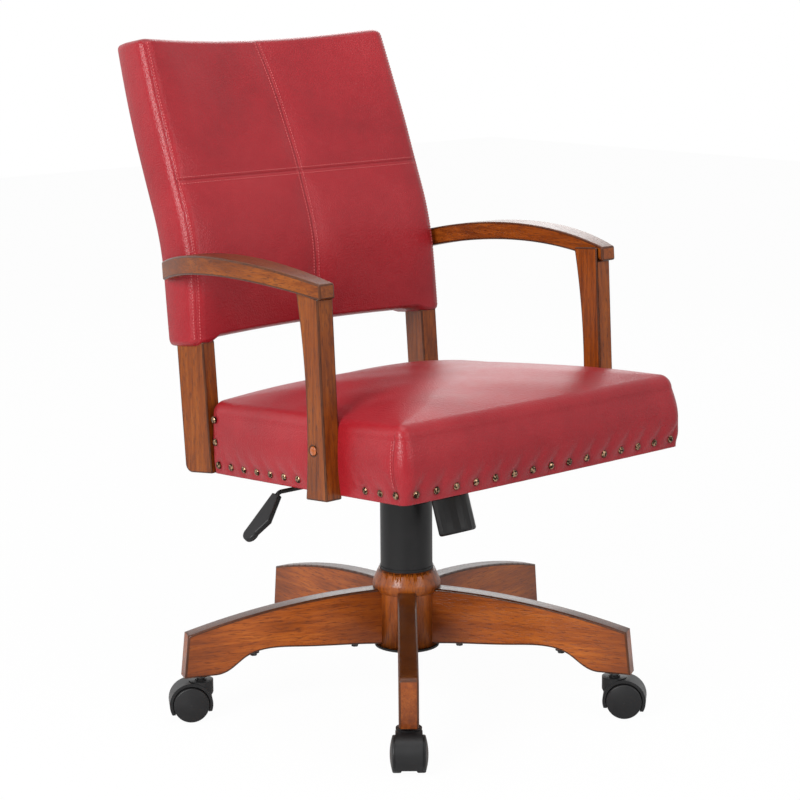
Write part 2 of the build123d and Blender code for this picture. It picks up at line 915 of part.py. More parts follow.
def seat_cushion():
    """Crowned cushion with drawn-in hem, wrapped round the rails."""
    sections = [Pos(0, 0, height) * seat_plan(inset) for height, inset in seat_profile()]
    body = loft(sections, ruled=True)
    top = rail_height + soft_gap
    rails = seat_slab(rail_inset - soft_gap, 0, top)
    rails -= seat_slab(rail_inset + rail_thickness + soft_gap, board_recess + board_thickness, top)
    body -= rails
    body -= seat_slab(rail_inset + rail_thickness - soft_gap, 0, board_recess + board_thickness + soft_gap)
    body -= arm_post_blank(soft_gap)
    body -= mirrored(arm_post_blank(soft_gap))
    return seat_place(body - bolt_cores(soft_gap))


def nail():
    """Domed nail head on the XY plane."""
    cap_r = (nail_r**2 + nail_height**2) / (2 * nail_height)
    rise = cap_r - nail_height
    knee = (nail_r * math.sin(math.pi / 4), math.sqrt(cap_r**2 - nail_r**2 / 2) - rise)
    outline = [
        Line((0, 0), (nail_r, 0)),
        ThreePointArc((nail_r, 0), knee, (0, nail_height)),
        Line((0, nail_height), (0, 0)),
    ]
    return revolve(Plane.XZ * make_face(outline), Axis.Z)


def side_nail_depths():
    """Depths of the nails along one side, ahead of and behind the arm post."""
    behind = [nail_side_behind_first + nail_side_pitch * step for step in range(nail_side_behind_count)]
    return list(nail_side_ahead) + behind


def seat_nails():
    """Rows of nails along the hem and up the rear edges of the sides."""
    nails = []
    half = (nail_front_count - 1) / 2
    front_half = seat_half_width(seat_front_y, hem_inset)
    for step in range(nail_front_count):
        x = (step - half) * nail_front_pitch
        bow = seat_front_bow * (1 - (x / front_half) ** 2)
        y = seat_front_y + hem_inset - bow - soft_gap
        nails.append(Pos(x, y, nail_line) * Rot(90, 0, 0) * nail())
    places = [(y, nail_line, hem_inset) for y in side_nail_depths()]
    last_y = side_nail_depths()[-1] + nail_column_shift
    for step in range(nail_column_count):
        height = nail_line + (step + 1) * nail_column_pitch
        places.append((last_y, height, side_inset(height)))
    for y, z, inset in places:
        x = seat_half_width(y, inset) + soft_gap
        toe = math.degrees(math.atan2(seat_half_width(y - 1, 0) - seat_half_width(y + 1, 0), 2))
        right = Pos(x, y, z) * Rot(0, 0, toe) * Rot(0, 90, 0) * nail()
        nails.append(right)
        nails.append(mirrored(right))
    return Compound(children=[seat_place(each) for each in nails])


# Back: bent along its height, with nearly level sections

def back_station(reach):
    """Origin and lean of the back's front edge at a distance along it."""
    straight = back_bend_z - back_bottom_z
    if reach <= straight:
        return back_front_y, back_bottom_z + reach, 0.0
    turn = min((reach - straight) / back_bend_r, math.radians(back_lean))
    beyond = reach - straight - turn * back_bend_r
    y = back_front_y + back_bend_r * (1 - math.cos(turn)) + beyond * math.sin(turn)
    z = back_bend_z + back_bend_r * math.sin(turn) + beyond * math.cos(turn)
    return y, z, math.degrees(turn)


def back_plane(reach):
    """Section plane at a distance along the back, level below and tilted a little at the top."""
    y, z, _ = back_station(reach)
    return Plane((0, y, z)).rotated((-back_top_tilt * reach / back_length, 0, 0))


def back_point(reach, offset):
    """Point of the seat frame's YZ plane at a distance along the back and an offset behind its front."""
    y, z, lean = back_station(reach)
    turn = math.radians(lean)
    return (y + offset * math.cos(turn), z - offset * math.sin(turn))


def back_half_width(reach):
    """Half width of the back at a distance along it."""
    return back_bottom_half + (back_top_half - back_bottom_half) * reach / back_length


def back_sag(reach):
    """Depth of the hollow in the back's front, least at the padded middle."""
    share = reach / back_length
    low = 2 * (share - 0.5) * (share - 1) * back_sag_bottom
    high = 2 * share * (share - 0.5) * back_sag_top
    return low + 4 * share * (1 - share) * back_sag_middle + high


def back_section(reach, inset):
    """Section of the back cushion: hollow front, round rear, soft corners."""
    half = back_half_width(reach) - inset
    sag = back_sag(reach)
    share = reach / back_length
    rear = back_thickness + 4 * back_fullness * share * (1 - share) - inset
    outline = [
        ThreePointArc((-half, inset), (0, inset + sag), (half, inset)),
        Line((half, inset), (half, rear)),
        ThreePointArc((half, rear), (0, rear + back_rear_bulge), (-half, rear)),
        Line((-half, rear), (-half, inset)),
    ]
    face = make_face(outline)
    return back_plane(reach) * fillet(face.vertices(), back_corner_r)


def back_strip(first, last, front, rear):
    """Face in the YZ plane that follows the back's bend between two offsets."""
    bend_start = back_bend_z - back_bottom_z
    bend_end = bend_start + back_bend_r * math.radians(back_lean)
    bend = (bend_start, (bend_start + bend_end) / 2, bend_end)
    edges = [
        Line(back_point(first, front), back_point(bend_start, front)),
        ThreePointArc(*[back_point(at, front) for at in bend]),
        Line(back_point(bend_end, front), back_point(last, front)),
        Line(back_point(last, front), back_point(last, rear)),
        Line(back_point(last, rear), back_point(bend_end, rear)),
        ThreePointArc(*[back_point(at, rear) for at in reversed(bend)]),
        Line(back_point(bend_start, rear), back_point(first, rear)),
        Line(back_point(first, rear), back_point(first, front)),
    ]
    return make_face(edges)


def stile(gap):
    """Upper part of the rear post inside the back, on the -X side, grown by a gap."""
    face = back_strip(
        -soft_gap - gap, stile_end + gap, stile_offset - gap, stile_offset + stile_depth + gap
    )
    start = -(stile_inner_x + stile_width + gap)
    return Pos(start, 0, 0) * extrude(Plane.YZ * face, stile_width + 2 * gap)


def post_place(shape):
    """Carry a shape from the post's outer front edge, toed in, to the sitter's right side."""
    return Pos(-post_outer_x, post_front_y, 0) * Rot(0, 0, post_toe) * shape


def rear_post():
    """Rear post on the sitter's right: toed in below, slimmer and straight inside the back."""
    neck_z = back_bottom_z - soft_gap
    heel = (post_depth - post_foot_round, post_foot_z)
    calf = (post_depth, post_foot_z + post_foot_round)
    outline = [
        Line((0, post_foot_z), heel),
        RadiusArc(heel, calf, -post_foot_round),
        Line(calf, (post_depth, neck_z)),
        Line((post_depth, neck_z), (0, neck_z)),
        Line((0, neck_z), (0, post_foot_z)),
    ]
    lower = post_place(extrude(Plane.YZ * make_face(outline), post_width))
    return (lower + stile(0)) - bolt_cores(press_gap)


def back_board(gap):
    """Plywood panel between the stiles, grown by a gap."""
    face = back_strip(
        back_board_margin - gap,
        stile_end + gap,
        back_board_offset - gap,
        back_board_offset + back_board_thickness + gap,
    )
    half = stile_inner_x - press_gap
    return extrude(Plane.YZ * face, half + gap, both=True)


def back_cushion():
    """Upholstered back with rounded rims, hollow round the stiles and the board."""
    reaches = [back_edge_round / 3, back_edge_round]
    insets = [back_edge_inset / 3, 0.0]
    step = (back_length - 2 * back_edge_round) / (back_sections - 1)
    for index in range(1, back_sections):
        reaches.append(back_edge_round + index * step)
        insets.append(0.0)
    reaches = [0.0] + reaches + [back_length - back_edge_round / 3, back_length]
    insets = [back_edge_inset] + insets + [back_edge_inset / 3, back_edge_inset]
    sections = [back_section(reach, inset) for reach, inset in zip(reaches, insets)]
    body = loft(sections, ruled=True)
    body -= stile(soft_gap)
    body -= mirrored(stile(soft_gap))
    body -= back_board(soft_gap)
    return seat_place(body - bolt_cores(soft_gap))


# Arms, modelled on the sitter's right in the seat frame

def arm_post_blank(gap):
    """Arm post without its top joint, grown by a gap."""
    top = arm_rail_nose_top
    outline = [
        Line((arm_post_front - gap, arm_post_foot_z), (arm_post_rear + gap, arm_post_foot_z)),
        ThreePointArc(
            (arm_post_rear + gap, arm_post_foot_z),
            (arm_post_waist_y + gap, arm_post_waist_z),
            (arm_post_rear_top + gap, top),
        ),
        Line((arm_post_rear_top + gap, top), (arm_post_front_top - gap, top)),
        Line((arm_post_front_top - gap, top), (arm_post_front - gap, arm_post_foot_z)),
    ]
    width = arm_post_out - arm_post_in + 2 * gap
    return Pos(-arm_post_out - gap, 0, 0) * extrude(Plane.YZ * make_face(outline), width)


def arm_rail_blank():
    """Arm rail: its plan cut to its arched side view."""
    plan = make_face(
        [
            Spline(
                (arm_rail_nose_in, arm_rail_nose_y),
                (arm_rail_bow_in, arm_rail_bow_y),
                (arm_rail_tail_in, arm_rail_tail_y),
            ),
            Line((arm_rail_tail_in, arm_rail_tail_y), (arm_rail_tail_out, arm_rail_tail_y)),
            Spline(
                (arm_rail_tail_out, arm_rail_tail_y),
                (arm_rail_bow_out, arm_rail_bow_y),
                (arm_rail_nose_out, arm_rail_nose_y),
            ),
            Line((arm_rail_nose_out, arm_rail_nose_y), (arm_rail_nose_in, arm_rail_nose_y)),
        ]
    )
    nose_low = arm_rail_nose_top - arm_rail_nose_depth
    tail_low = arm_rail_tail_top - arm_rail_depth
    side = make_face(
        [
            ThreePointArc(
                (arm_rail_nose_y, arm_rail_nose_top),
                (arm_rail_crown_y, arm_rail_crown_top),
                (arm_rail_tail_y, arm_rail_tail_top),
            ),
            Line((arm_rail_tail_y, arm_rail_tail_top), (arm_rail_tail_y, tail_low)),
            ThreePointArc(
                (arm_rail_tail_y, tail_low),
                (arm_rail_crown_y, arm_rail_crown_top - arm_rail_depth),
                (arm_rail_nose_y, nose_low),
            ),
            Line((arm_rail_nose_y, nose_low), (arm_rail_nose_y, arm_rail_nose_top)),
        ]
    )
    reach = 2 * arm_rail_bow_out
    upright = extrude(mirror(plan, Plane.YZ), 2 * arm_rail_crown_top)
    return upright & extrude(Plane.YZ * side, -reach)


def arm_post():
    """Front post of the arm, cut under the rail, with its plug hole."""
    body = arm_post_blank(0) - arm_rail_blank()
    lower = body.solids().sort_by(Axis.Z)[0]
    plug_end = arm_post_out - plug_depth
    lower -= bar_x(plug_r + press_gap, -arm_post_out, -plug_end, plug_y, plug_z)
    return lower - bolt_cores(press_gap)


def arm_rail():
    """Bowed and arched arm rail with softened edges."""
    blank = arm_rail_blank()
    rail = fillet(blank.edges(), arm_rail_round)
    return rail - bolt_cores(press_gap)


def arm_plugs():
    """Wooden plugs over the arm bolts."""
    start = -(arm_post_out + plug_proud)
    plug = bar_x(plug_r, start, -(arm_post_out - plug_depth), plug_y, plug_z)
    plug = chamfer(plug.faces().sort_by(Axis.X)[0].edges(), plug_proud / 2)
    return Compound(children=[seat_place(plug), seat_place(mirrored(plug))])


def rail_bolt_z():
    """Height of the bolt through the tail of the arm rail."""
    return arm_rail_tail_top - arm_rail_depth / 2 + 1


def bolt_cores(gap):
    """All the frame bolts of both sides, in the seat frame, grown by a gap."""
    arm_head = -(arm_post_out - plug_depth)
    tail_head = -(arm_rail_tail_in + arm_rail_tail_out) / 2
    bolts = [
        bar_x(bolt_head_r + gap, arm_head, arm_head + bolt_head + gap, plug_y, plug_z)
        + bar_x(bolt_r + gap, arm_head, -arm_bolt_end_x + gap, plug_y, plug_z),
        bar_x(bolt_head_r + gap, tail_head - gap, tail_head + bolt_head + gap, rail_bolt_y, rail_bolt_z())
        + bar_x(bolt_r + gap, tail_head, -rail_bolt_end_x + gap, rail_bolt_y, rail_bolt_z()),
    ]
    for z in post_bolt_z:
        head = bar_y(bolt_head_r + gap, post_depth - bolt_head, post_depth + gap, post_width / 2, z)
        shank = bar_y(bolt_r + gap, -post_bolt_reach - gap, post_depth, post_width / 2, z)
        bolts.append(post_place(head + shank))
    return [*bolts, *[mirrored(bolt) for bolt in bolts]]


def frame_bolts():
    """Bolts that join the posts, the rails and the seat frame."""
    return Compound(children=[seat_place(bolt) for bolt in bolt_cores(0)])


def all_parts():
    """Return every piece of the chair under its name."""
    parts = {
        "hub": hub(),
        "hub_socket": hub_socket(),
        "leg_screws": leg_screws(),
        "caster_sockets": caster_sockets(),
        "gas_tube": gas_tube(),
        "guide_bush": guide_bush(),
        "thrust_bearing": thrust_bearing(),
        "piston_rod": piston_rod(),
        "gas_cylinder": gas_cylinder(),
        "gas_button": gas_button(),
        "cover_lower": cover_lower(),
        "cover_upper": cover_upper(),
        "tilt_housing": tilt_housing(),
        "tilt_pin": tilt_pin(),
        "seat_plate": seat_plate(),
        "plate_bolts": plate_bolts(),
        "tension_bolt": tension_bolt(),
        "tension_knob": tension_knob(),
        "tilt_spring": tilt_spring(),
        "lever_rod": lever_rod(),
        "lever_paddle": lever_paddle(),
        "seat_frame": seat_frame(),
        "seat_board": seat_board(),
        "seat_cushion": seat_cushion(),
        "seat_nails": seat_nails(),
        "back_board": seat_place(back_board(0)),
        "back_cushion": back_cushion(),
        "arm_plugs": arm_plugs(),
        "frame_bolts": frame_bolts(),
    }
    for name, right in (("rear_post", rear_post()), ("arm_post", arm_post()), ("arm_rail", arm_rail())):
        parts[f"{name}_right"] = seat_place(right)
        parts[f"{name}_left"] = seat_place(mirrored(right))
    one_leg = leg()
    hood = caster_hood()
    pins = caster_pins()
    wheel = caster_wheel()
    for index in range(leg_count):
        number = index + 1
        parts[f"leg_{number}"] = leg_place(index, one_leg)
        at_stem = Pos(caster_stem_r, 0, 0) * Rot(0, 0, caster_turns[index])
        parts[f"caster_hood_{number}"] = leg_place(index, at_stem * hood)
        parts[f"caster_pins_{number}"] = leg_place(index, at_stem * pins)
        parts[f"wheel_{number}a"] = leg_place(index, at_stem * wheel)
        parts[f"wheel_{number}b"] = leg_place(index, at_stem * mirror(wheel, Plane.XZ))
    return parts


def main():
    """Write one STEP file for each piece."""
    os.makedirs("parts", exist_ok=True)
    for name, shape in all_parts().items():
        export_step(shape, f"parts/{name}.step")


main()
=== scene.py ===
"""Looks of a swivel armchair: upholstery, nail trim, stained wood, black fittings and a pale studio."""

import json
import logging
import math
from dataclasses import dataclass
from enum import Enum
from functools import lru_cache
from typing import Any, Iterable, Optional, Sequence, Union

import bmesh
import bpy
import numpy as np
from mathutils import Matrix, Vector

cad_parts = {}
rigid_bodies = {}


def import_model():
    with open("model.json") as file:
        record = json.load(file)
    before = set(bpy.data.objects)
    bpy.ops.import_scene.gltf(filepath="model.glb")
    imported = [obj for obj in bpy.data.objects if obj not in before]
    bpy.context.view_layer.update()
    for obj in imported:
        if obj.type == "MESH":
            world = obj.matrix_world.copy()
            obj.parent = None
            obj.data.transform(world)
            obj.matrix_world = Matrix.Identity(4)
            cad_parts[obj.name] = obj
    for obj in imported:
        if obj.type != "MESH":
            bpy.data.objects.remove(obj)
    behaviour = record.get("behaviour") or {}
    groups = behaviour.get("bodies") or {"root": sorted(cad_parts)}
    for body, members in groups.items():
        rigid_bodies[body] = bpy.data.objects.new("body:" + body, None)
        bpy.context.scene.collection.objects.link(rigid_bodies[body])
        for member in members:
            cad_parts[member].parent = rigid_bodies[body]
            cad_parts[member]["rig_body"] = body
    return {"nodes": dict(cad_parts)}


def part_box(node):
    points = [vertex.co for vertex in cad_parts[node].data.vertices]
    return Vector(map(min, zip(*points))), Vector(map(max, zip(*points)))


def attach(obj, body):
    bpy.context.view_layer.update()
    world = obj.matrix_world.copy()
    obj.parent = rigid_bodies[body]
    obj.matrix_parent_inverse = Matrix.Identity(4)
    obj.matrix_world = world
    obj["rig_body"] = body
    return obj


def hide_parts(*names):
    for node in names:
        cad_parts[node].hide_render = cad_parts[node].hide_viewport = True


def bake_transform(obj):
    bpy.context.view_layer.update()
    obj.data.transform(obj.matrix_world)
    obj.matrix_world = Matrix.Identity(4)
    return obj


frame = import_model()

LOG = logging.getLogger("armchair")
MM = 0.001
TINY = 1e-9
SEAT_TIP = math.radians(4.6)
SEAT_BOTTOM = 352.4
STITCH_PITCH = 0.0044
STITCH_HALF = 0.0016
WHITE = (1.0, 1.0, 1.0, 1.0)

Colour = tuple[float, float, float]
Point = tuple[float, float, float]
Corners = Sequence[int]
Rows = np.ndarray
Piece = bpy.types.Object
Material = bpy.types.Material
Socket = bpy.types.NodeSocket


def seat_to_chair(points: Rows) -> Rows:
    """Carry points from the tipped seat frame, in millimetres, to the chair's frame, in metres.

    Args:
        points: Array of x, y, z rows in the seat frame.

    Returns:
        Array of x, y, z rows in the chair's frame.
    """
    x, y, z = points[..., 0], points[..., 1], points[..., 2]
    cos, sin = math.cos(SEAT_TIP), math.sin(SEAT_TIP)
    return np.stack([x, y * cos + z * sin, SEAT_BOTTOM - y * sin + z * cos], -1) * MM


class Grain(Enum):
    """Direction in which a piece's wood grain runs."""

    ACROSS = "X"
    DEPTH = "Y"
    UPRIGHT = "Z"


class Graph:
    """A node tree under construction."""

    def __init__(self, tree: bpy.types.NodeTree) -> None:
        """Work on a tree."""
        self.tree = tree

    def put(self, socket: Socket, value: Any) -> None:
        """Link a field or node output to a socket, or set its value.

        Args:
            socket: Input socket.
            value: Field, node output or plain value.
        """
        if isinstance(value, Field):
            value = value.socket
        if isinstance(value, Socket):
            self.tree.links.new(value, socket)
        else:
            socket.default_value = value

    def add(
        self, kind: str, inputs: Optional[dict[Union[str, int], Any]] = None, **settings: Any
    ) -> bpy.types.Node:
        """Add a node.

        Args:
            kind: Node type.
            inputs: Values or links of its sockets, by name or index.
            settings: Properties, set before the sockets.

        Returns:
            The new node.
        """
        node = self.tree.nodes.new(kind)
        for key, value in settings.items():
            setattr(node, key, value)
        for key, value in (inputs or {}).items():
            self.put(node.inputs[key], value)
        return node


class Field:
    """A shader socket that takes part in arithmetic."""

    def __init__(self, paint: "Paint", socket: Socket) -> None:
        """Wrap a socket of a material under construction."""
        self.paint = paint
        self.socket = socket

    def _math(self, operation: str, other: Any) -> "Field":
        """Add a Math node on this and another value and return its result."""
        node = self.paint.add("ShaderNodeMath", {0: self, 1: other}, operation=operation)
        return Field(self.paint, node.outputs[0])

    def __add__(self, other: Any) -> "Field":
        """Return the sum."""
        return self._math("ADD", other)

    def __sub__(self, other: Any) -> "Field":
        """Return the difference."""
        return self._math("SUBTRACT", other)

    def __mul__(self, other: Any) -> "Field":
        """Return the product."""
        return self._math("MULTIPLY", other)

    __radd__, __rmul__ = __add__, __mul__

    def clamp(self, low: float, high: float) -> "Field":
        """Map the value from a range to 0 to 1 and hold it there.

        Args:
            low: Value that becomes 0.
            high: Value that becomes 1.

        Returns:
            The mapped value.
        """
        node = self.paint.add(
            "ShaderNodeMapRange", {"Value": self, "From Min": low, "From Max": high},
            clamp=True, interpolation_type="SMOOTHSTEP",
        )
        return Field(self.paint, node.outputs["Result"])


class Paint(Graph):
    """One material under construction."""

    def __init__(self, name: str) -> None:
        """Start an empty material with a Principled surface."""
        self.material = bpy.data.materials.new(name)
        self.material.use_nodes = True
        super().__init__(self.material.node_tree)
        self.surface = self.tree.nodes["Principled BSDF"]

    def coords(self, turn: Point = (0.0, 0.0, 0.0), scale: Point = (1.0, 1.0, 1.0)) -> Socket:
        """Give the piece's own coordinates, turned and then scaled.

        Args:
            turn: Rotation in radians about X, Y and Z.
            scale: Stretch of each axis after the turn.

        Returns:
            Socket of the mapped coordinates.
        """
        own = self.add("ShaderNodeTexCoord").outputs["Object"]
        turned = self.add("ShaderNodeMapping", {"Vector": own, "Rotation": turn}).outputs["Vector"]
        return self.add("ShaderNodeVectorMath", {0: turned, 1: scale}, operation="MULTIPLY").outputs["Vector"]

    def noise(self, where: Socket, scale: float, detail: float = 3.0, twist: float = 0.0) -> Field:
        """Return a noise value at the given coordinates."""
        node = self.add(
            "ShaderNodeTexNoise", {"Vector": where, "Scale": scale, "Detail": detail, "Distortion": twist}
        )
        return Field(self, node.outputs[0])

    def reach(self) -> Field:
        """Return the level distance from the column's axis, in metres."""
        node = self.add("ShaderNodeVectorMath", {0: self.coords(scale=(1.0, 1.0, 0.0))}, operation="LENGTH")
        return Field(self, node.outputs["Value"])

    def cells(self, where: Socket, scale: float) -> Field:
        """Return the distance to the nearest of scattered cell centres."""
        node = self.add("ShaderNodeTexVoronoi", {"Vector": where, "Scale": scale}, feature="F1")
        return Field(self, node.outputs["Distance"])

    def attribute(self, name: str) -> Field:
        """Return a number stored on the piece's mesh."""
        return Field(self, self.add("ShaderNodeAttribute", attribute_name=name).outputs["Fac"])

    def ramp(self, value: Field, stops: Sequence[tuple[float, Colour]]) -> Socket:
        """Pick a colour along a ramp.

        Args:
            value: Place on the ramp.
            stops: Place and colour of each stop.

        Returns:
            Socket of the colour.
        """
        node = self.add("ShaderNodeValToRGB", {"Fac": value})
        elements = node.color_ramp.elements
        while len(elements) < len(stops):
            elements.new(0.5)
        for element, (place, colour) in zip(elements, stops):
            element.position = place
            element.color = (*colour, 1.0)
        return node.outputs["Color"]

    def mix(self, share: Any, first: Any, second: Any) -> Socket:
        """Mix two colours.

        Args:
            share: Share of the second.
            first: Colour or socket.
            second: Colour or socket.

        Returns:
            Socket of the mix.
        """
        node = self.add("ShaderNodeMix", {0: share}, data_type="RGBA")
        for index, colour in ((6, first), (7, second)):
            self.put(node.inputs[index], (*colour, 1.0) if isinstance(colour, tuple) else colour)
        return node.outputs[2]

    def bump(self, height: Field, depth: float, strength: float) -> Socket:
        """Return a normal bent by a height, with the depth in metres."""
        node = self.add("ShaderNodeBump", {"Height": height, "Distance": depth, "Strength": strength})
        return node.outputs["Normal"]

    def done(self, **sockets: Any) -> Material:
        """Set the surface's sockets.

        Args:
            sockets: Values or links by socket name, with underscores for spaces.

        Returns:
            The finished material.
        """
        for name, value in sockets.items():
            self.put(self.surface.inputs[name.replace("_", " ")], value)
        return self.material


@dataclass(frozen=True)
class LeatherFinish:
    """Red coated leather with a fine pebble grain."""

    name: str = "red_leather"
    deep: Colour = (0.245, 0.006, 0.012)
    body: Colour = (0.300, 0.009, 0.016)
    worn: Colour = (0.340, 0.015, 0.022)
    # Colour of the painted shade in seams, round nails and under the hem.
    crease_shadow: Colour = (0.12, 0.006, 0.010)
    clouds: float = 7.0
    mottles: float = 55.0
    wrinkles: float = 260.0
    pebbles: float = 470.0
    pebble_depth: float = 0.0006
    roughness: float = 0.21
    gloss: float = 0.33

    def build(self) -> Material:
        """Build the material.

        Returns:
            The material.
        """
        paint = Paint(self.name)
        where = paint.coords()
        cloud = paint.noise(where, self.clouds, 3.0, 0.4)
        mottle = paint.noise(where, self.mottles, 2.0)
        wander = paint.noise(where, self.wrinkles, 2.0)
        grain = paint.cells(where, self.pebbles) * 0.75 + wander * 0.5
        tone = cloud * 0.75 + mottle * 0.25
        colour = paint.ramp(tone, [(0.3, self.deep), (0.5, self.body), (0.72, self.worn)])
        colour = paint.mix(grain.clamp(0.78, 0.2) * 0.22, colour, self.deep)
        # Darkened by the attribute stored on the covers: painted shade in seams, round nails, under the
        # seat's hem and along the back's top edge.
        colour = paint.mix(paint.attribute("painted_shade") * 0.7, colour, self.crease_shadow)
        return paint.done(
            Base_Color=colour, Roughness=self.roughness + 0.10 * mottle + 0.10 * grain,
            Normal=paint.bump(grain, self.pebble_depth, 0.7), Specular_IOR_Level=self.gloss,
        )


@dataclass(frozen=True)
class ThreadFinish:
    """Waxed thread of the topstitching."""

    name: str = "red_thread"
    colour: Colour = (0.62, 0.115, 0.118)
    strands: float = 1400.0
    strand_depth: float = 0.0002
    roughness: float = 0.62

    def build(self) -> Material:
        """Build the material.

        Returns:
            The material.
        """
        paint = Paint(self.name)
        twist = paint.noise(paint.coords(), self.strands, 1.0)
        colour = paint.mix(twist, self.colour, tuple(0.7 * part for part in self.colour))
        return paint.done(
            Base_Color=colour, Roughness=self.roughness, Normal=paint.bump(twist, self.strand_depth, 0.5)
        )


@dataclass(frozen=True)
class WoodFinish:
    """Reddish brown stain under a gloss lacquer, with the grain along one direction."""

    name: str
    grain: Grain
    angle: float = 0.0
    shade: float = 1.0
    lacquer: float = 0.15
    dark: Colour = (0.075, 0.014, 0.002)
    body: Colour = (0.225, 0.050, 0.004)
    light: Colour = (0.340, 0.092, 0.009)
    deeper_ends: bool = False
    figures: Point = (4.0, 26.0, 26.0)
    streaks: Point = (14.0, 210.0, 210.0)
    pores: Point = (75.0, 760.0, 760.0)
    pore_depth: float = 0.00022
    foot_stain: tuple[float, float] = (0.24, 0.35)
    hub_stain: tuple[float, float] = (0.15, 0.05)
    roughness: float = 0.24
    gloss: float = 0.3

    def _turn(self) -> Point:
        """Bring the grain onto the pattern's X axis.

        Returns:
            Rotation in radians about X, Y and Z.
        """
        if self.grain is Grain.UPRIGHT:
            return (0.0, math.pi / 2, 0.0)
        return (0.0, 0.0, -math.pi / 2 if self.grain is Grain.DEPTH else -self.angle)

    def build(self) -> Material:
        """Build the material.

        Returns:
            The material.
        """
        paint = Paint(self.name)
        turn = self._turn()
        figure = paint.noise(paint.coords(turn, self.figures), 1.0, 4.0, 0.5)
        streak = paint.noise(paint.coords(turn, self.streaks), 1.0, 3.0)
        pores = paint.noise(paint.coords(turn, self.pores), 1.0, 2.0).clamp(0.52, 0.68)
        dark, body, light = (
            tuple(self.shade * part for part in colour) for colour in (self.dark, self.body, self.light)
        )
        tone = figure * 0.42 + streak * 0.38 + 0.1
        colour = paint.ramp(tone, [(0.33, dark), (0.5, body), (0.66, light)])
        colour = paint.mix(pores * 0.7, colour, dark)
        if self.deeper_ends:
            ends = paint.reach().clamp(*self.foot_stain) * 0.6 + paint.reach().clamp(*self.hub_stain) * 0.6
            colour = paint.mix(ends, colour, dark)
        return paint.done(
            Base_Color=colour, Roughness=self.roughness + 0.16 * streak,
            Normal=paint.bump(streak * 0.5 - pores, self.pore_depth, 0.5), Specular_IOR_Level=self.gloss,
            Coat_Weight=self.lacquer, Coat_Roughness=0.16,
        )


@dataclass(frozen=True)
class MouldedFinish:
    """Black moulded plastic or painted steel."""

    name: str
    colour: Colour = (0.0085, 0.0085, 0.0092)
    roughness: float = 0.34
    texture: float = 900.0
    depth: float = 0.00008
    dusting: float = 38.0
    gloss: float = 0.3

    def build(self) -> Material:
        """Build the material.

        Returns:
            The material.
        """
        paint = Paint(self.name)
        where = paint.coords()
        fine = paint.noise(where, self.texture, 2.0)
        dust = paint.noise(where, self.dusting, 4.0)
        pale = tuple(1.7 * part + 0.002 for part in self.colour)
        return paint.done(
            Base_Color=paint.mix(dust.clamp(0.45, 0.8) * 0.5, self.colour, pale),
            Roughness=self.roughness + 0.12 * dust, Normal=paint.bump(fine, self.depth, 0.6),
            Specular_IOR_Level=self.gloss,
        )


@dataclass(frozen=True)
class MetalFinish:
    """Plain or aged metal."""

    name: str
    colour: Colour
    tarnish: Colour
    roughness: float = 0.3
    patches: float = 240.0
    hammered: float = 0.00006

    def build(self) -> Material:
        """Build the material.

        Returns:
            The material.
        """
        paint = Paint(self.name)
        patch = paint.noise(paint.coords(), self.patches, 2.0)
        return paint.done(
            Base_Color=paint.mix(patch.clamp(0.4, 0.56), self.colour, self.tarnish), Metallic=1.0,
            Roughness=self.roughness + 0.2 * patch, Normal=paint.bump(patch, self.hammered, 0.5),
        )


Finish = Union[LeatherFinish, ThreadFinish, WoodFinish, MouldedFinish, MetalFinish]


@lru_cache(maxsize=None)
def coat(finish: Finish) -> Material:
    """Return a finish's material, built the first time."""
    return finish.build()


LEATHER = LeatherFinish()
THREAD = ThreadFinish()
BLACK_PLASTIC = MouldedFinish("black_plastic")
BLACK_STEEL = MouldedFinish("black_steel", roughness=0.42, texture=500.0)
RAW_WOOD = WoodFinish(
    "raw_wood", Grain.ACROSS, 0.0, 1.0, 0.0, (0.30, 0.19, 0.10), (0.46, 0.31, 0.17), (0.58, 0.42, 0.26)
)
BURNISHED_EDGE = WoodFinish("burnished_edge", Grain.UPRIGHT, 0.0, 0.33, 0.1)
# Darker wood for up-facing leg crests and rail tops: painted shade.
CREST_PAINTED_SHADE = WoodFinish("crest_painted_shade", Grain.UPRIGHT, 0.0, 0.36, 0.3)
RAIL_TOP_PAINTED_SHADE = WoodFinish("rail_top_painted_shade", Grain.DEPTH, 0.0, 0.46)
BUTTON_WOOD = WoodFinish("button_wood", Grain.DEPTH, 0.0, 1.9, 0.6)
BRONZE = MetalFinish("antique_bronze", (0.36, 0.23, 0.14), (0.022, 0.013, 0.008), 0.16, 360.0, 0.0005)
DARK_STEEL = MetalFinish("dark_steel", (0.09, 0.09, 0.092), (0.05, 0.05, 0.05), 0.34)
STEEL = MetalFinish("bright_steel", (0.55, 0.55, 0.56), (0.42, 0.41, 0.40), 0.24)


def show(name: str, data: bpy.types.ID) -> Piece:
    """Put an object into the scene, at the origin.

    Args:
        name: Its name.
        data: Its data.

    Returns:
        The new object.
    """
    made = bpy.data.objects.new(name, data)
    bpy.context.scene.collection.objects.link(made)
    return made


def applied(holder: Piece, name: str) -> Piece:
    """Put a plain piece in an object's place, with its modifiers applied.

    Args:
        holder: Object that goes.
        name: Name of the piece.

    Returns:
        The new piece.
    """
    bpy.context.view_layer.update()
    evaluated = holder.evaluated_get(bpy.context.evaluated_depsgraph_get())
    solid = bpy.data.meshes.new_from_object(evaluated)
    bpy.data.objects.remove(holder)
    return show(name, solid)


def new_piece(name: str, verts: Rows, faces: Iterable[Corners], material: Material) -> Piece:
    """Make a mesh piece in the chair's frame.

    Args:
        name: Name of the piece.
        verts: Points in metres.
        faces: Corner indices of each face.
        material: Its finish.

    Returns:
        The new object, at the origin.
    """
    mesh = bpy.data.meshes.new(name)
    mesh.from_pydata([tuple(row) for row in verts], [], [tuple(face) for face in faces])
    mesh.validate()
    mesh.materials.append(material)
    mesh.polygons.foreach_set("use_smooth", [True] * len(mesh.polygons))
    return show(name, mesh)


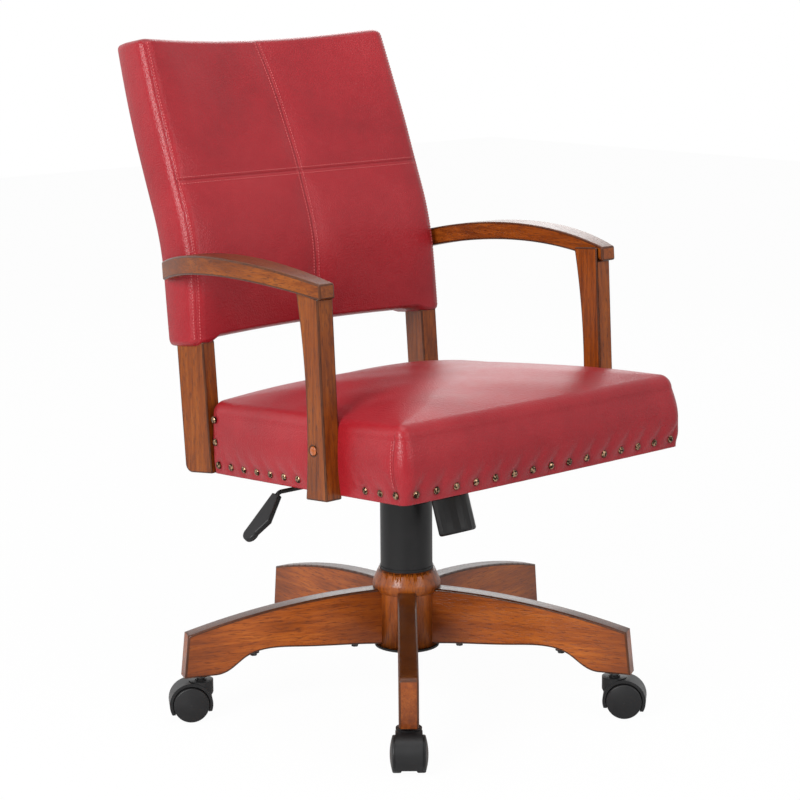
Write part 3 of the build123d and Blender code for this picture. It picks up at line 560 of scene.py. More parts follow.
def settle(piece: Piece, body: str, slot: str, *nodes: str) -> Piece:
    """Let a piece ride on a body and stand for CAD nodes.

    Args:
        piece: The piece.
        body: Name of the body.
        slot: Name of the finish slot; not used.
        nodes: Nodes that it stands for.

    Returns:
        The same piece.
    """
    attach(piece, body)
    if nodes:
        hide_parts(*nodes)
    LOG.info("%s rides on %s", piece.name, body)
    return piece


def store(piece: Piece, name: str, values: Rows) -> None:
    """Store one number for each point of a piece's mesh."""
    attribute = piece.data.attributes.new(name, "FLOAT", "POINT")
    attribute.data.foreach_set("value", values.astype(np.float32))


def skin(count: int, rings: int, turned: bool = False) -> list[Corners]:
    """Faces over a stack of closed rings, with both ends capped.

    Args:
        count: Points in each ring.
        rings: Number of rings.
        turned: Whether the faces look the other way.

    Returns:
        Corner indices of each face.
    """
    last = (rings - 1) * count
    faces: list[Corners] = []
    for low in range(0, last, count):
        for index in range(count):
            beside = (index + 1) % count
            faces.append((low + index, low + beside, low + count + beside, low + count + index))
    faces += [range(last, last + count), range(count - 1, -1, -1)]
    return [face[::-1] for face in faces] if turned else faces


def spread(low: float, high: float, step: float, dense: Sequence[float], fine: float, reach: float) -> Rows:
    """Places along a line, closer together near some of them.

    Args:
        low: First place.
        high: Last place.
        step: Usual distance between places.
        dense: Places round which they are closer.
        fine: Distance there.
        reach: How far the closer stretch runs each way.

    Returns:
        Sorted places from low to high.
    """
    places = [low]
    while places[-1] < high:
        near = min(abs(places[-1] - centre) for centre in dense)
        share = min(max((near - reach) / (3 * reach), 0.0), 1.0)
        places.append(places[-1] + fine + (step - fine) * share)
    grown = np.array(places)
    return low + (grown - low) * (high - low) / (grown[-1] - low)


def bell(distance: Rows, width: float) -> Rows:
    """Bell curve of a distance."""
    return np.exp(-((distance / width) ** 2))


def ramp(value: Rows, start: float, run: float) -> Rows:
    """Rise from 0 at the start to 1 at the end of a run, which may go backwards."""
    return np.clip((value - start) / run, 0.0, 1.0)


def unit(rows: Rows) -> Rows:
    """Rows of vectors brought to length 1."""
    return rows / np.maximum(np.linalg.norm(rows, axis=1, keepdims=True), TINY)


def ripple(plan: Rows) -> Rows:
    """Slow unevenness of padding under a cover, about a millimetre.

    Args:
        plan: Rows of two coordinates on the cover.

    Returns:
        Rise at each row.
    """
    x, y = plan[:, 0], plan[:, 1]
    waves = np.sin(x / 31.0 + 0.7 * np.sin(y / 47.0)) + np.sin(y / 37.0 - 0.9 * np.sin(x / 59.0))
    return 0.45 * waves + 0.35 * np.sin((x + 1.3 * y) / 24.0 + 1.1)


def frames_along(points: Rows) -> Rows:
    """Unit directions along a polyline, one for each of its points."""
    return unit(np.gradient(points, axis=0))


def at_pitch(points: Rows, pitch: float) -> Rows:
    """Step along a polyline.

    Args:
        points: Its points.
        pitch: Length of a step.

    Returns:
        Points at that pitch.
    """
    reach = np.concatenate([[0.0], np.cumsum(np.linalg.norm(np.diff(points, axis=0), axis=1))])
    places = np.arange(pitch / 2, reach[-1], pitch)
    return np.stack([np.interp(places, reach, points[:, axis]) for axis in range(3)], -1)


class SeedShape(Enum):
    """Small repeated pieces that the scattering tree can place."""

    STITCH = "stitch"
    NAIL = "nail"


@dataclass
class Scatter:
    """Geometry Nodes tree that sets one small shape at each point of a run."""

    shape: SeedShape
    length: float
    thickness: float
    segments: int = 10
    rings: int = 6

    def tree(self, material: Material) -> bpy.types.NodeTree:
        """Build the tree with named inputs for its sizes.

        Args:
            material: Finish of the scattered shapes.

        Returns:
            The node tree.
        """
        group = bpy.data.node_groups.new(f"{self.shape.value}_run", "GeometryNodeTree")
        for label, kind in (("Places", "Geometry"), ("Length", "Float"), ("Thickness", "Float")):
            group.interface.new_socket(name=label, in_out="INPUT", socket_type=f"NodeSocket{kind}")
        group.interface.new_socket(name="Pieces", in_out="OUTPUT", socket_type="NodeSocketGeometry")
        graph = Graph(group)
        start = graph.add("NodeGroupInput").outputs
        ball = graph.add(
            "GeometryNodeMeshUVSphere", {"Segments": self.segments, "Rings": self.rings, "Radius": 1.0}
        )
        round_y = "Thickness" if self.shape is SeedShape.STITCH else "Length"
        sizes = {"X": start["Length"], "Y": start[round_y], "Z": start["Thickness"]}
        scale = graph.add("ShaderNodeCombineXYZ", sizes).outputs["Vector"]
        shaped = graph.add("GeometryNodeTransform", {"Geometry": ball.outputs["Mesh"], "Scale": scale})
        turn = self._turn(graph, "out", "Z", self._turn(graph, "along", "X"))
        places = graph.add(
            "GeometryNodeInstanceOnPoints",
            {"Points": start["Places"], "Instance": shaped.outputs["Geometry"], "Rotation": turn},
        )
        real = graph.add("GeometryNodeRealizeInstances", {"Geometry": places.outputs["Instances"]})
        smooth = graph.add("GeometryNodeSetShadeSmooth", {0: real.outputs["Geometry"]})
        painted = graph.add("GeometryNodeSetMaterial", {"Geometry": smooth.outputs[0], "Material": material})
        graph.add("NodeGroupOutput", {"Pieces": painted.outputs["Geometry"]})
        return group

    @staticmethod
    def _turn(graph: Graph, name: str, axis: str, before: Optional[Socket] = None) -> Socket:
        """Turn an axis of the shape to a direction stored at each point.

        Args:
            graph: Tree under construction.
            name: Attribute that holds the direction.
            axis: Axis of the shape.
            before: Rotation to start from.

        Returns:
            Socket of the rotation.
        """
        stored = graph.add("GeometryNodeInputNamedAttribute", {"Name": name}, data_type="FLOAT_VECTOR")
        toward = stored.outputs["Attribute"]
        align = graph.add("FunctionNodeAlignRotationToVector", {"Vector": toward}, axis=axis)
        if before is not None:
            align.pivot_axis = "X"
            graph.put(align.inputs["Rotation"], before)
        return align.outputs["Rotation"]

    def run(self, name: str, points: Rows, along: Rows, out: Rows, material: Material) -> Piece:
        """Scatter the shape over points and turn the result into a plain mesh.

        Args:
            name: Name of the piece.
            points: Places in metres.
            along: Direction of each shape's length.
            out: Direction away from the surface.
            material: Finish.

        Returns:
            The new piece.
        """
        mesh = bpy.data.meshes.new(f"{name}_places")
        mesh.from_pydata([tuple(row) for row in points], [], [])
        for label, rows in (("along", along), ("out", out)):
            attribute = mesh.attributes.new(label, "FLOAT_VECTOR", "POINT")
            attribute.data.foreach_set("vector", rows.astype(np.float32).ravel())
        holder = show(f"{name}_places", mesh)
        modifier = holder.modifiers.new("run", "NODES")
        modifier.node_group = self.tree(material)
        sizes = {"Length": self.length, "Thickness": self.thickness}
        for item in modifier.node_group.interface.items_tree:
            if item.name in sizes:
                modifier[item.identifier] = sizes[item.name]
        return applied(holder, name)


@dataclass
class SeatUpholstery:
    """Crowned seat, drawn in at its nailed hem, with sewn front corners. Millimetres, seat frame."""

    front: float = -287.9
    rear: float = 161.0
    front_half: float = 262.0
    rear_half: float = 224.2
    side_bow: float = 1.5
    front_bow: float = 3.0
    rear_bow: float = 20.0
    corner: float = 13.0
    corner_growth: float = 5.0
    brow_growth: float = 180.0
    shoulder_z: float = 83.0
    shoulder_r: float = 20.0
    shoulder_inset: float = 2.6
    shoulder_turn: tuple[float, float] = (7.0, 76.0)
    shoulder_fade: float = 60.0
    crown: float = 29.0
    crown_power: float = 2.6
    bulge: float = 6.0
    bulge_end: float = 14.0
    bulge_power: float = 1.4
    arm_post_y: float = -130.0
    arm_post_reach: float = 48.0
    rear_post_reach: float = 60.0
    hem_inset: float = 1.4
    hem_reach: float = 17.0
    hem_z: float = 1.5
    hem_turn: float = 2.2
    hem_lap: float = 0.91
    hem_shade: float = 0.5
    hollow_z: float = 40.0
    nail_line: float = 12.5
    nail_pitch: float = 34.4
    nail_count: int = 15
    nail_lift: float = 0.9
    nail_r: float = 5.3
    nail_dome: float = 3.1
    side_nails: tuple[float, ...] = (-270, -238, -206, -88, -55, -22, 11, 44, 77, 110, 143)
    column_nails: tuple[tuple[float, float], ...] = ((147, 44.5), (147, 76.5))
    dimple: float = 1.7
    dimple_r: float = 7.5
    dimple_shade: float = 0.75
    dimple_shade_r: float = 6.4
    pucker: float = 1.5
    pucker_lean: float = 0.55
    pucker_width: float = 4.5
    pucker_rise: float = 11.0
    pucker_run: float = 14.0
    fold_offset: float = 13.0
    fold_width: float = 5.5
    fold_rise: float = 5.0
    side_pull: float = 0.45
    seam_sink: float = 1.1
    seam_width: float = 1.5
    seam_shade: float = 0.45
    valley_sink: float = 1.7
    valley_width: float = 9.0
    seam_back: float = 13.5
    seam_lean: float = 0.03
    seam_foot: float = 24.0
    stitch_foot: float = 22.0
    stitch_back: float = 3.0
    stitch_sink: float = 0.3
    stitch_r: float = 0.5

    def _half(self, share: Any) -> Any:
        """Half width of the hem at a share of the depth."""
        straight = self.front_half + share * (self.rear_half - self.front_half)
        return straight + 4 * self.side_bow * share * (1 - share)

    def half_width(self, y: float) -> float:
        """Half width of the hem at a depth."""
        return self._half((y - self.front) / (self.rear - self.front))

    def outline(self, corner: float) -> tuple[Rows, Rows]:
        """Plan of the seat, from the middle of the front round by the +X side.

        Args:
            corner: Radius of the corners.

        Returns:
            Points and outward directions.
        """
        depth = (self.rear - self.front) / 2
        width = (self.front_half + self.rear_half) / 2
        legs = [(0, -depth), (width, -depth), (width, depth), (-width, depth), (-width, -depth), (0, -depth)]
        rows: list[tuple[float, float]] = []
        for (x0, y0), (x1, y1) in zip(legs, legs[1:]):
            run = math.hypot(x1 - x0, y1 - y0)
            dense = [place for place, x in ((0.0, x0), (run, x1)) if x != 0]
            if x0 == x1:
                dense.append(abs(-depth + self.seam_back - y0))
            places = spread(0.0, run, 4.0, dense, 0.9, 9.0)[:-1]
            rows += [(x0 + (x1 - x0) * p / run, y0 + (y1 - y0) * p / run) for p in places]
        box = np.array(rows)
        inner = np.clip(box, [-width + corner, -depth + corner], [width - corner, depth - corner])
        rounded = inner + corner * unit(box - inner)
        share = (rounded[:, 1] + depth) / (2 * depth)
        across = rounded[:, 0] / width
        y = self.front + 2 * depth * share
        y = y - self.front_bow * (1 - across**2) * (1 - share) + self.rear_bow * (1 - across**2) * share
        plan = np.stack([across * self._half(share), y], -1)
        step = np.roll(plan, -1, 0) - np.roll(plan, 1, 0)
        return plan, unit(np.stack([step[:, 1], -step[:, 0]], -1))

    def nail_places(self) -> tuple[Rows, Rows]:
        """Place all the nails on the cover.

        Returns:
            Points and outward directions in the seat frame.
        """
        places: list[Point] = []
        facing: list[Point] = []
        half = (self.nail_count - 1) / 2
        for index in range(self.nail_count):
            x = (index - half) * self.nail_pitch
            bow = self.front_bow * (1 - (x / self.front_half) ** 2)
            places.append((x, self.front - bow, self.nail_line))
            facing.append((0.0, -1.0, 0.0))
        sides = [(y, self.nail_line) for y in self.side_nails] + list(self.column_nails)
        for y, z in sides:
            toe = math.atan((self.half_width(y + 1) - self.half_width(y - 1)) / 2)
            for sign in (1, -1):
                places.append((sign * self.half_width(y), y, z))
                facing.append((sign * math.cos(toe), -math.sin(toe), 0.0))
        return np.array(places), np.array(facing)

    def side_inset(self, height: float, edge: Rows) -> Rows:
        """Draw the cover's side in at a height, less where the padding swells between posts.

        Args:
            height: Height, up to the shoulder.
            edge: Plan points of the side.

        Returns:
            Inset of each point.
        """
        y = edge[:, 1]
        at_arm = bell(y - self.arm_post_y, self.arm_post_reach)
        at_rear = bell(y - self.rear, self.rear_post_reach)
        free = (1 - at_arm) * (1 - at_rear) * (y < self.rear - 1)
        rise = np.clip(height / (self.shoulder_z + self.bulge_end), 0.0, 1.0)
        swell = self.bulge * np.sin(np.pi * rise) ** self.bulge_power
        hem = self.hem_inset * bell(height, self.hem_reach)
        shoulder = self.shoulder_inset * (height / self.shoulder_z) ** 3
        return hem + shoulder - swell * free

    def build(self) -> Piece:
        """Make the cover as rings from the hollow underneath, round the hem and up to the crown.

        Returns:
            The padded piece.
        """
        nails, _ = self.nail_places()
        rings: list[Rows] = []
        painted_shades: list[Rows] = []

        def ring(place: Rows, height: Any, painted_shade: Any) -> None:
            """Add a ring with its height and painted shade."""
            rings.append(np.column_stack([place, np.broadcast_to(height, len(place))]))
            painted_shades.append(np.broadcast_to(painted_shade, len(place)))

        plan, out = self.outline(self.corner)
        centre = np.array([0.0, (self.front + self.rear) / 2])
        lapped = centre + (plan - centre) * self.hem_lap
        turned = plan - out * self.hem_turn
        # The hollow underneath and the turned hem get painted shade.
        for under, height in ((lapped, self.hollow_z), (lapped, self.hem_z), (turned, 0.0)):
            ring(under, height, self.hem_shade)
        for height in spread(0.0, self.shoulder_z, 4.0, [self.nail_line], 1.4, 8.0):
            edge, out = self.outline(self.corner + self.corner_growth * height / self.shoulder_z)
            inset, painted_shade = self._draw_in(edge, out, float(height), nails)
            ring(edge - out * (self.side_inset(height, edge) + inset)[:, None], height, painted_shade)
        edge, out = self.outline(self.corner + self.corner_growth)
        inset, painted_shade = self._draw_in(edge, out, self.shoulder_z, nails)
        side = self.side_inset(self.shoulder_z, edge)
        for turn in np.radians(np.linspace(*self.shoulder_turn, 11)):
            fade = max(0.0, 1 - turn / math.radians(self.shoulder_fade))
            drop = side + self.shoulder_r * (1 - math.cos(turn)) + inset * fade
            height = self.shoulder_z + self.shoulder_r * math.sin(turn)
            ring(edge - out * drop[:, None], height, painted_shade * fade)
        level = rings[-1][0, 2]
        for share in np.concatenate([np.linspace(0.015, 0.3, 14), np.linspace(0.33, 0.985, 16)]):
            brow, out = self.outline(self.corner + self.corner_growth + self.brow_growth * share**0.8)
            shrunk = centre + (brow - out * drop[:, None] - centre) * (1 - share)
            rise = self.crown * (1 - (1 - share) ** self.crown_power) + ripple(shrunk) * min(1.0, 4 * share)
            ring(shrunk, level + rise, 0.0)
        verts = seat_to_chair(np.concatenate(rings))
        piece = new_piece("seat_cover", verts, skin(len(plan), len(rings)), coat(LEATHER))
        store(piece, "painted_shade", np.concatenate(painted_shades))
        settle(piece, "seat", "red_leather", "seat_cushion")
        return piece

    def _draw_in(self, edge: Rows, out: Rows, height: float, nails: Rows) -> tuple[Rows, Rows]:
        """How far nails and the corner seams draw the cover in at one height, and the painted shade round
        them.

        Args:
            edge: Plan points of the ring.
            out: Their outward directions.
            height: Height of the ring.
            nails: Places of the nails.

        Returns:
            Inset and painted shade for each point.
        """
        inset = np.zeros(len(edge))
        painted_shade = np.zeros(len(edge))
        ahead = np.abs(out[:, 1]) > 0.7
        for x, y, z in nails:
            rise = height - z
            near = np.hypot(np.hypot(edge[:, 0] - x, edge[:, 1] - y), rise)
            lean = self.pucker_lean * rise
            flat = np.hypot(edge[:, 0] - x - ahead * lean, edge[:, 1] - y - ~ahead * lean)
            pull = 1.0 if abs(y - self.front) < 6.0 else self.side_pull
            pucker = bell(flat, self.pucker_width) * bell(rise - self.pucker_rise, self.pucker_run)
            beside = bell(flat - self.fold_offset, self.fold_width)
            fold = beside * bell(rise - self.fold_rise, self.pucker_run)
            inset += self.dimple * bell(near, self.dimple_r) + pull * (self.pucker * pucker - fold)
            # Painted shadow: a dark ring round each nail.
            painted_shade += self.dimple_shade * bell(near, self.dimple_shade_r)
        side = np.abs(edge[:, 0]) > 0.8 * self.rear_half
        off = np.abs(edge[:, 1] - (self.front + self.seam_back + self.seam_lean * height))
        sewn = min(1.0, height / self.seam_foot)
        widths = (self.seam_width, self.valley_width)
        groove, valley = (np.where(side, bell(off, width), 0.0) for width in widths)
        inset += (self.seam_sink * groove + self.valley_sink * valley) * sewn
        # Painted shade in the seam groove.
        painted_shade += self.seam_shade * groove * sewn
        return inset, np.clip(painted_shade, 0.0, 1.0)

    def corner_stitches(self) -> Piece:
        """Sew a row of stitches beside each front corner seam.

        Returns:
            The stitches as one piece.
        """
        heights = np.arange(self.stitch_foot, self.shoulder_z, 1.0)
        y = self.front + self.seam_back + self.seam_lean * heights + self.stitch_back
        inset = np.array([self.side_inset(z, np.array([[0.0, place]]))[0] for z, place in zip(heights, y)])
        x = np.array([self.half_width(float(place)) for place in y]) - inset - self.stitch_sink
        rows = []
        for sign in (1, -1):
            row = at_pitch(seat_to_chair(np.column_stack([sign * x, y, heights])), STITCH_PITCH)
            rows.append((row, frames_along(row), np.tile([float(sign), 0.0, 0.0], (len(row), 1))))
        joined = [np.concatenate(part) for part in zip(*rows)]
        scatter = Scatter(SeedShape.STITCH, STITCH_HALF, self.stitch_r * MM)
        piece = scatter.run("seat_corner_stitches", *joined, coat(THREAD))
        return settle(piece, "seat", "red_leather")

    def nails(self) -> Piece:
        """Drive the domed nails along the hem and up the rear edges.

        Returns:
            The nails as one piece.
        """
        places, facing = self.nail_places()
        sunk = places - facing * (self.dimple - self.nail_lift)
        points = seat_to_chair(sunk)
        out = (seat_to_chair(sunk + facing) - points) / MM
        up = np.tile([0.0, math.sin(SEAT_TIP), math.cos(SEAT_TIP)], (len(points), 1))
        scatter = Scatter(SeedShape.NAIL, self.nail_r * MM, self.nail_dome * MM, 20, 12)
        piece = scatter.run("hem_nails", points, up, out, coat(BRONZE))
        return settle(piece, "seat", "bronze", "seat_nails")


@dataclass
class BackUpholstery:
    """Back cushion, hollow across and bent along its height, with crossed seams. Millimetres, seat frame."""

    bottom_z: float = 186.0
    front_y: float = 160.0
    bend_z: float = 272.0
    bend_r: float = 350.0
    lean: float = 16.5
    length: float = 441.0
    thickness: float = 76.0
    fullness: float = 7.0
    top_tilt: float = 7.0
    bottom_half: float = 232.5
    top_half: float = 221.5
    sag_bottom: float = 24.0
    sag_middle: float = 12.0
    sag_top: float = 35.0
    rear_bulge: float = 24.0
    rear_dent: float = 0.5
    side_bow: float = 4.0
    side_bow_at: float = 0.76
    side_bow_span: float = 0.3
    side_round: float = 17.0
    side_swell: float = 7.5
    side_tuck: float = 4.0
    end_round: float = 9.0
    round_fade: float = 30.0
    top_dip: float = 5.0
    top_share: float = 0.2
    bottom_lift: float = 4.0
    bottom_share: float = 0.16
    post_lap: float = 8.0
    post_edge: float = 0.815
    post_ramp: float = 0.07
    cross_height: float = 229.0
    cross_margin: float = 4.0
    seam_sink: float = 0.8
    seam_width: float = 1.5
    seam_shade: float = 0.3
    side_seam_width: float = 1.2
    rim_width: float = 1.1
    rim_shade: float = 0.75
    pillow: float = 2.2
    pillow_width: float = 17.0
    side_valley: float = 0.3
    side_valley_width: float = 20.0
    edge_pillow: float = 3.4
    edge_pillow_width: float = 24.0
    stitch_gap: float = 4.6
    side_stitch_share: float = 0.55
    stitch_samples: int = 300
    stitch_r: float = 0.62

    @property
    def side_seam(self) -> float:
        """Distance of the side seams from the middle, halfway round the front corners."""
        return self.bottom_half - self.side_round * (1 - math.sqrt(0.5))

    def station(self, reach: Rows) -> tuple[Rows, Rows]:
        """Find the front edge at a distance along it.

        Args:
            reach: Distance from the bottom.

        Returns:
            Depth and height.
        """
        straight = self.bend_z - self.bottom_z
        turn = np.clip((reach - straight) / self.bend_r, 0.0, math.radians(self.lean))
        past = np.where(turn > 0, reach - straight - turn * self.bend_r, 0.0)
        y = self.front_y + self.bend_r * (1 - np.cos(turn)) + past * np.sin(turn)
        rise = np.where(turn > 0, past * np.cos(turn), reach - straight)
        return y, self.bend_z + self.bend_r * np.sin(turn) + rise

    def place(self, across: Rows, depth: Rows, reach: Rows) -> Rows:
        """Map the cushion's own coordinates to the seat frame.

        Args:
            across: Distance from the middle, on the bottom's width.
            depth: Distance behind the front.
            reach: Distance along the front edge.

        Returns:
            Points in the seat frame.
        """
        share = reach / self.length
        half = self.bottom_half + (self.top_half - self.bottom_half) * share
        half = half + self.side_bow * bell(share - self.side_bow_at, self.side_bow_span)
        side = np.clip(across / self.bottom_half, -1.0, 1.0)
        inward = 1 - side**2
        hollow = 2 * (share - 0.5) * (share - 1) * self.sag_bottom + 4 * share * (1 - share) * self.sag_middle
        hollow = hollow + 2 * share * (share - 0.5) * self.sag_top
        thick = self.thickness + 4 * self.fullness * share * (1 - share)
        back = depth / self.thickness
        offset = thick * back + inward * ((1 - back) * hollow + back * self.rear_bulge)
        y, z = self.station(reach)
        z = z - self.top_dip * inward * ramp(share, 1 - self.top_share, self.top_share) ** 2
        lap = self.post_lap * ramp(np.abs(side), self.post_edge, self.post_ramp)
        z = z + ramp(share, self.bottom_share, -self.bottom_share) ** 2 * (self.bottom_lift * inward - lap)
        tilt = np.radians(self.top_tilt) * share
        swell = self.side_swell * 4 * np.clip(back * (1 - back), 0.0, 1.0)
        swell = swell - self.side_tuck * np.clip(back, 0.0, 1.0)
        x = across / self.bottom_half * half + np.sign(side) * side**8 * swell
        return np.stack([x, y + offset * np.cos(tilt), z - offset * np.sin(tilt)], -1)

    def _lattice(self) -> tuple[Rows, Rows, Rows]:
        """Space the lattice lines across, through and along the cushion.

        Returns:
            Places of the lines.
        """
        half = self.bottom_half
        across = spread(-half, half, 10.0, [0.0, half, -half], 0.9, 9.0)
        depth = spread(0.0, self.thickness, 8.0, [0.0, self.thickness], 1.1, 8.0)
        reach = spread(0.0, self.length, 10.0, [self.cross_height, 0.0, self.length], 0.9, 9.0)
        return across, depth, reach

    def _relief(self, across: Rows, reach: Rows, crossed: Union[bool, Rows] = True) -> tuple[Rows, Rows]:
        """Sink seams and lift padded panels.

        Args:
            across: Distance from the middle.
            reach: Distance along the front edge.
            crossed: Whether the crossed seams are there besides the side seams.

        Returns:
            Sink of the surface, negative on the panels, and painted shade in the seams and along the top
            edge.
        """
        inside = np.abs(across) < self.side_seam
        edge = np.abs(np.abs(across) - self.side_seam)
        level = np.where(inside & crossed, np.abs(reach - self.cross_height), 1e3)
        upright = np.where(crossed, np.abs(across), 1e3)
        cross = np.minimum(upright, level)
        groove = np.maximum(bell(cross, self.seam_width), bell(edge, self.side_seam_width))
        beside = self.side_valley * bell(edge, self.side_valley_width)
        valley = np.maximum(bell(cross, self.pillow_width), beside)
        shoulder = self.edge_pillow * np.where(inside, bell(edge, self.edge_pillow_width), 1.0)
        # Painted shadow line along the top edge.
        rim = bell(reach - self.length + 0.5 * self.end_round, self.rim_width)
        sink = self.seam_sink * groove + self.pillow * valley + shoulder - self.pillow - self.edge_pillow
        return sink, np.maximum(self.seam_shade * groove, self.rim_shade * rim)

    def _mesh(self) -> tuple[Rows, list[Corners]]:
        """Cover the lattice's block with faces.

        Returns:
            Points of the plain block, and its faces.
        """
        lines = self._lattice()
        last = [len(line) - 1 for line in lines]
        index: dict[tuple[int, ...], int] = {}
        faces: list[Corners] = []
        for axis in range(3):
            one, two = [other for other in range(3) if other != axis]
            for end in (0, last[axis]):
                for first in range(last[one]):
                    for second in range(last[two]):
                        ring = []
                        for step_one, step_two in ((0, 0), (1, 0), (1, 1), (0, 1)):
                            key = [0, 0, 0]
                            key[axis], key[one], key[two] = end, first + step_one, second + step_two
                            ring.append(index.setdefault(tuple(key), len(index)))
                        flip = (end == 0) == (axis != 1)
                        faces.append(ring[::-1] if flip else ring)
        return np.array([[line[number] for line, number in zip(lines, key)] for key in index]), faces

    def build(self) -> Piece:
        """Make the cushion as a rounded block bent to the back's shape.

        Returns:
            The padded piece.
        """
        grid, faces = self._mesh()
        size = np.array([self.bottom_half, self.thickness, self.length])
        behind = ramp(grid[:, 1], self.side_round, self.round_fade)
        round_side = self.side_round + (self.end_round - self.side_round) * behind
        radii = np.column_stack([round_side, round_side, np.full(len(grid), self.end_round)])
        inner = np.clip(grid, np.array([-self.bottom_half, 0.0, 0.0]) + radii, size - radii)
        away = unit((grid - inner) / radii)
        block = inner + radii * away
        front, rear = np.clip(-away[:, 1], 0.0, 1.0), np.clip(away[:, 1], 0.0, 1.0)
        sink, painted_shade = self._relief(block[:, 0], block[:, 2], away[:, 1] <= 0)
        block[:, 1] += front * sink - rear * self.rear_dent * sink - front * ripple(block[:, [0, 2]])
        verts = seat_to_chair(self.place(*block.T))
        piece = new_piece("back_cover", verts, faces, coat(LEATHER))
        store(piece, "painted_shade", np.clip(painted_shade * (front + rear), 0.0, 1.0))
        settle(piece, "seat", "red_leather", "back_cushion")
        return piece

    def _row(self, across: Any, reach: Any) -> tuple[Rows, Rows, Rows]:
        """Lay stitches along a line on the front.

        Args:
            across: Distance from the middle.
            reach: Distance along the front edge.

        Returns:
            Stitch places, directions and outward directions.
        """
        across, reach = (np.broadcast_to(line, self.stitch_samples) for line in (across, reach))
        past = ramp(np.abs(across), self.bottom_half - self.side_round, self.side_round)
        ahead = np.sqrt(1 - past**2)
        sink = self._relief(across, reach)[0] - ripple(np.column_stack([across, reach]))
        depth = self.side_round * (1 - ahead) + ahead * sink
        line = seat_to_chair(self.place(across, depth, reach))
        lifted = seat_to_chair(self.place(across + np.sign(across) * past, depth - ahead, reach))
        places, tips = at_pitch(line, STITCH_PITCH), at_pitch(lifted, STITCH_PITCH)
        count = min(len(places), len(tips))
        places = places[:count]
        return places, frames_along(places), unit(tips[:count] - places)

    def stitches(self) -> Piece:
        """Sew the double rows along the crossed seams and the side seams.

        Returns:
            The stitches as one piece.
        """
        reach = self.end_round + np.linspace(0.0, self.length - 2 * self.end_round, self.stitch_samples)
        end = self.side_seam - self.cross_margin
        across = np.linspace(-end, end, self.stitch_samples)
        rows = []
        for offset in (-self.stitch_gap, self.stitch_gap):
            rows.append(self._row(offset, reach))
            rows.append(self._row(across, self.cross_height + offset))
            for sign in (-1, 1):
                rows.append(self._row(sign * (self.side_seam + self.side_stitch_share * offset), reach))
        joined = [np.concatenate(part) for part in zip(*rows)]
        scatter = Scatter(SeedShape.STITCH, STITCH_HALF, self.stitch_r * MM, 8, 5)
        piece = scatter.run("back_stitches", *joined, coat(THREAD))
        return settle(piece, "seat", "red_leather")


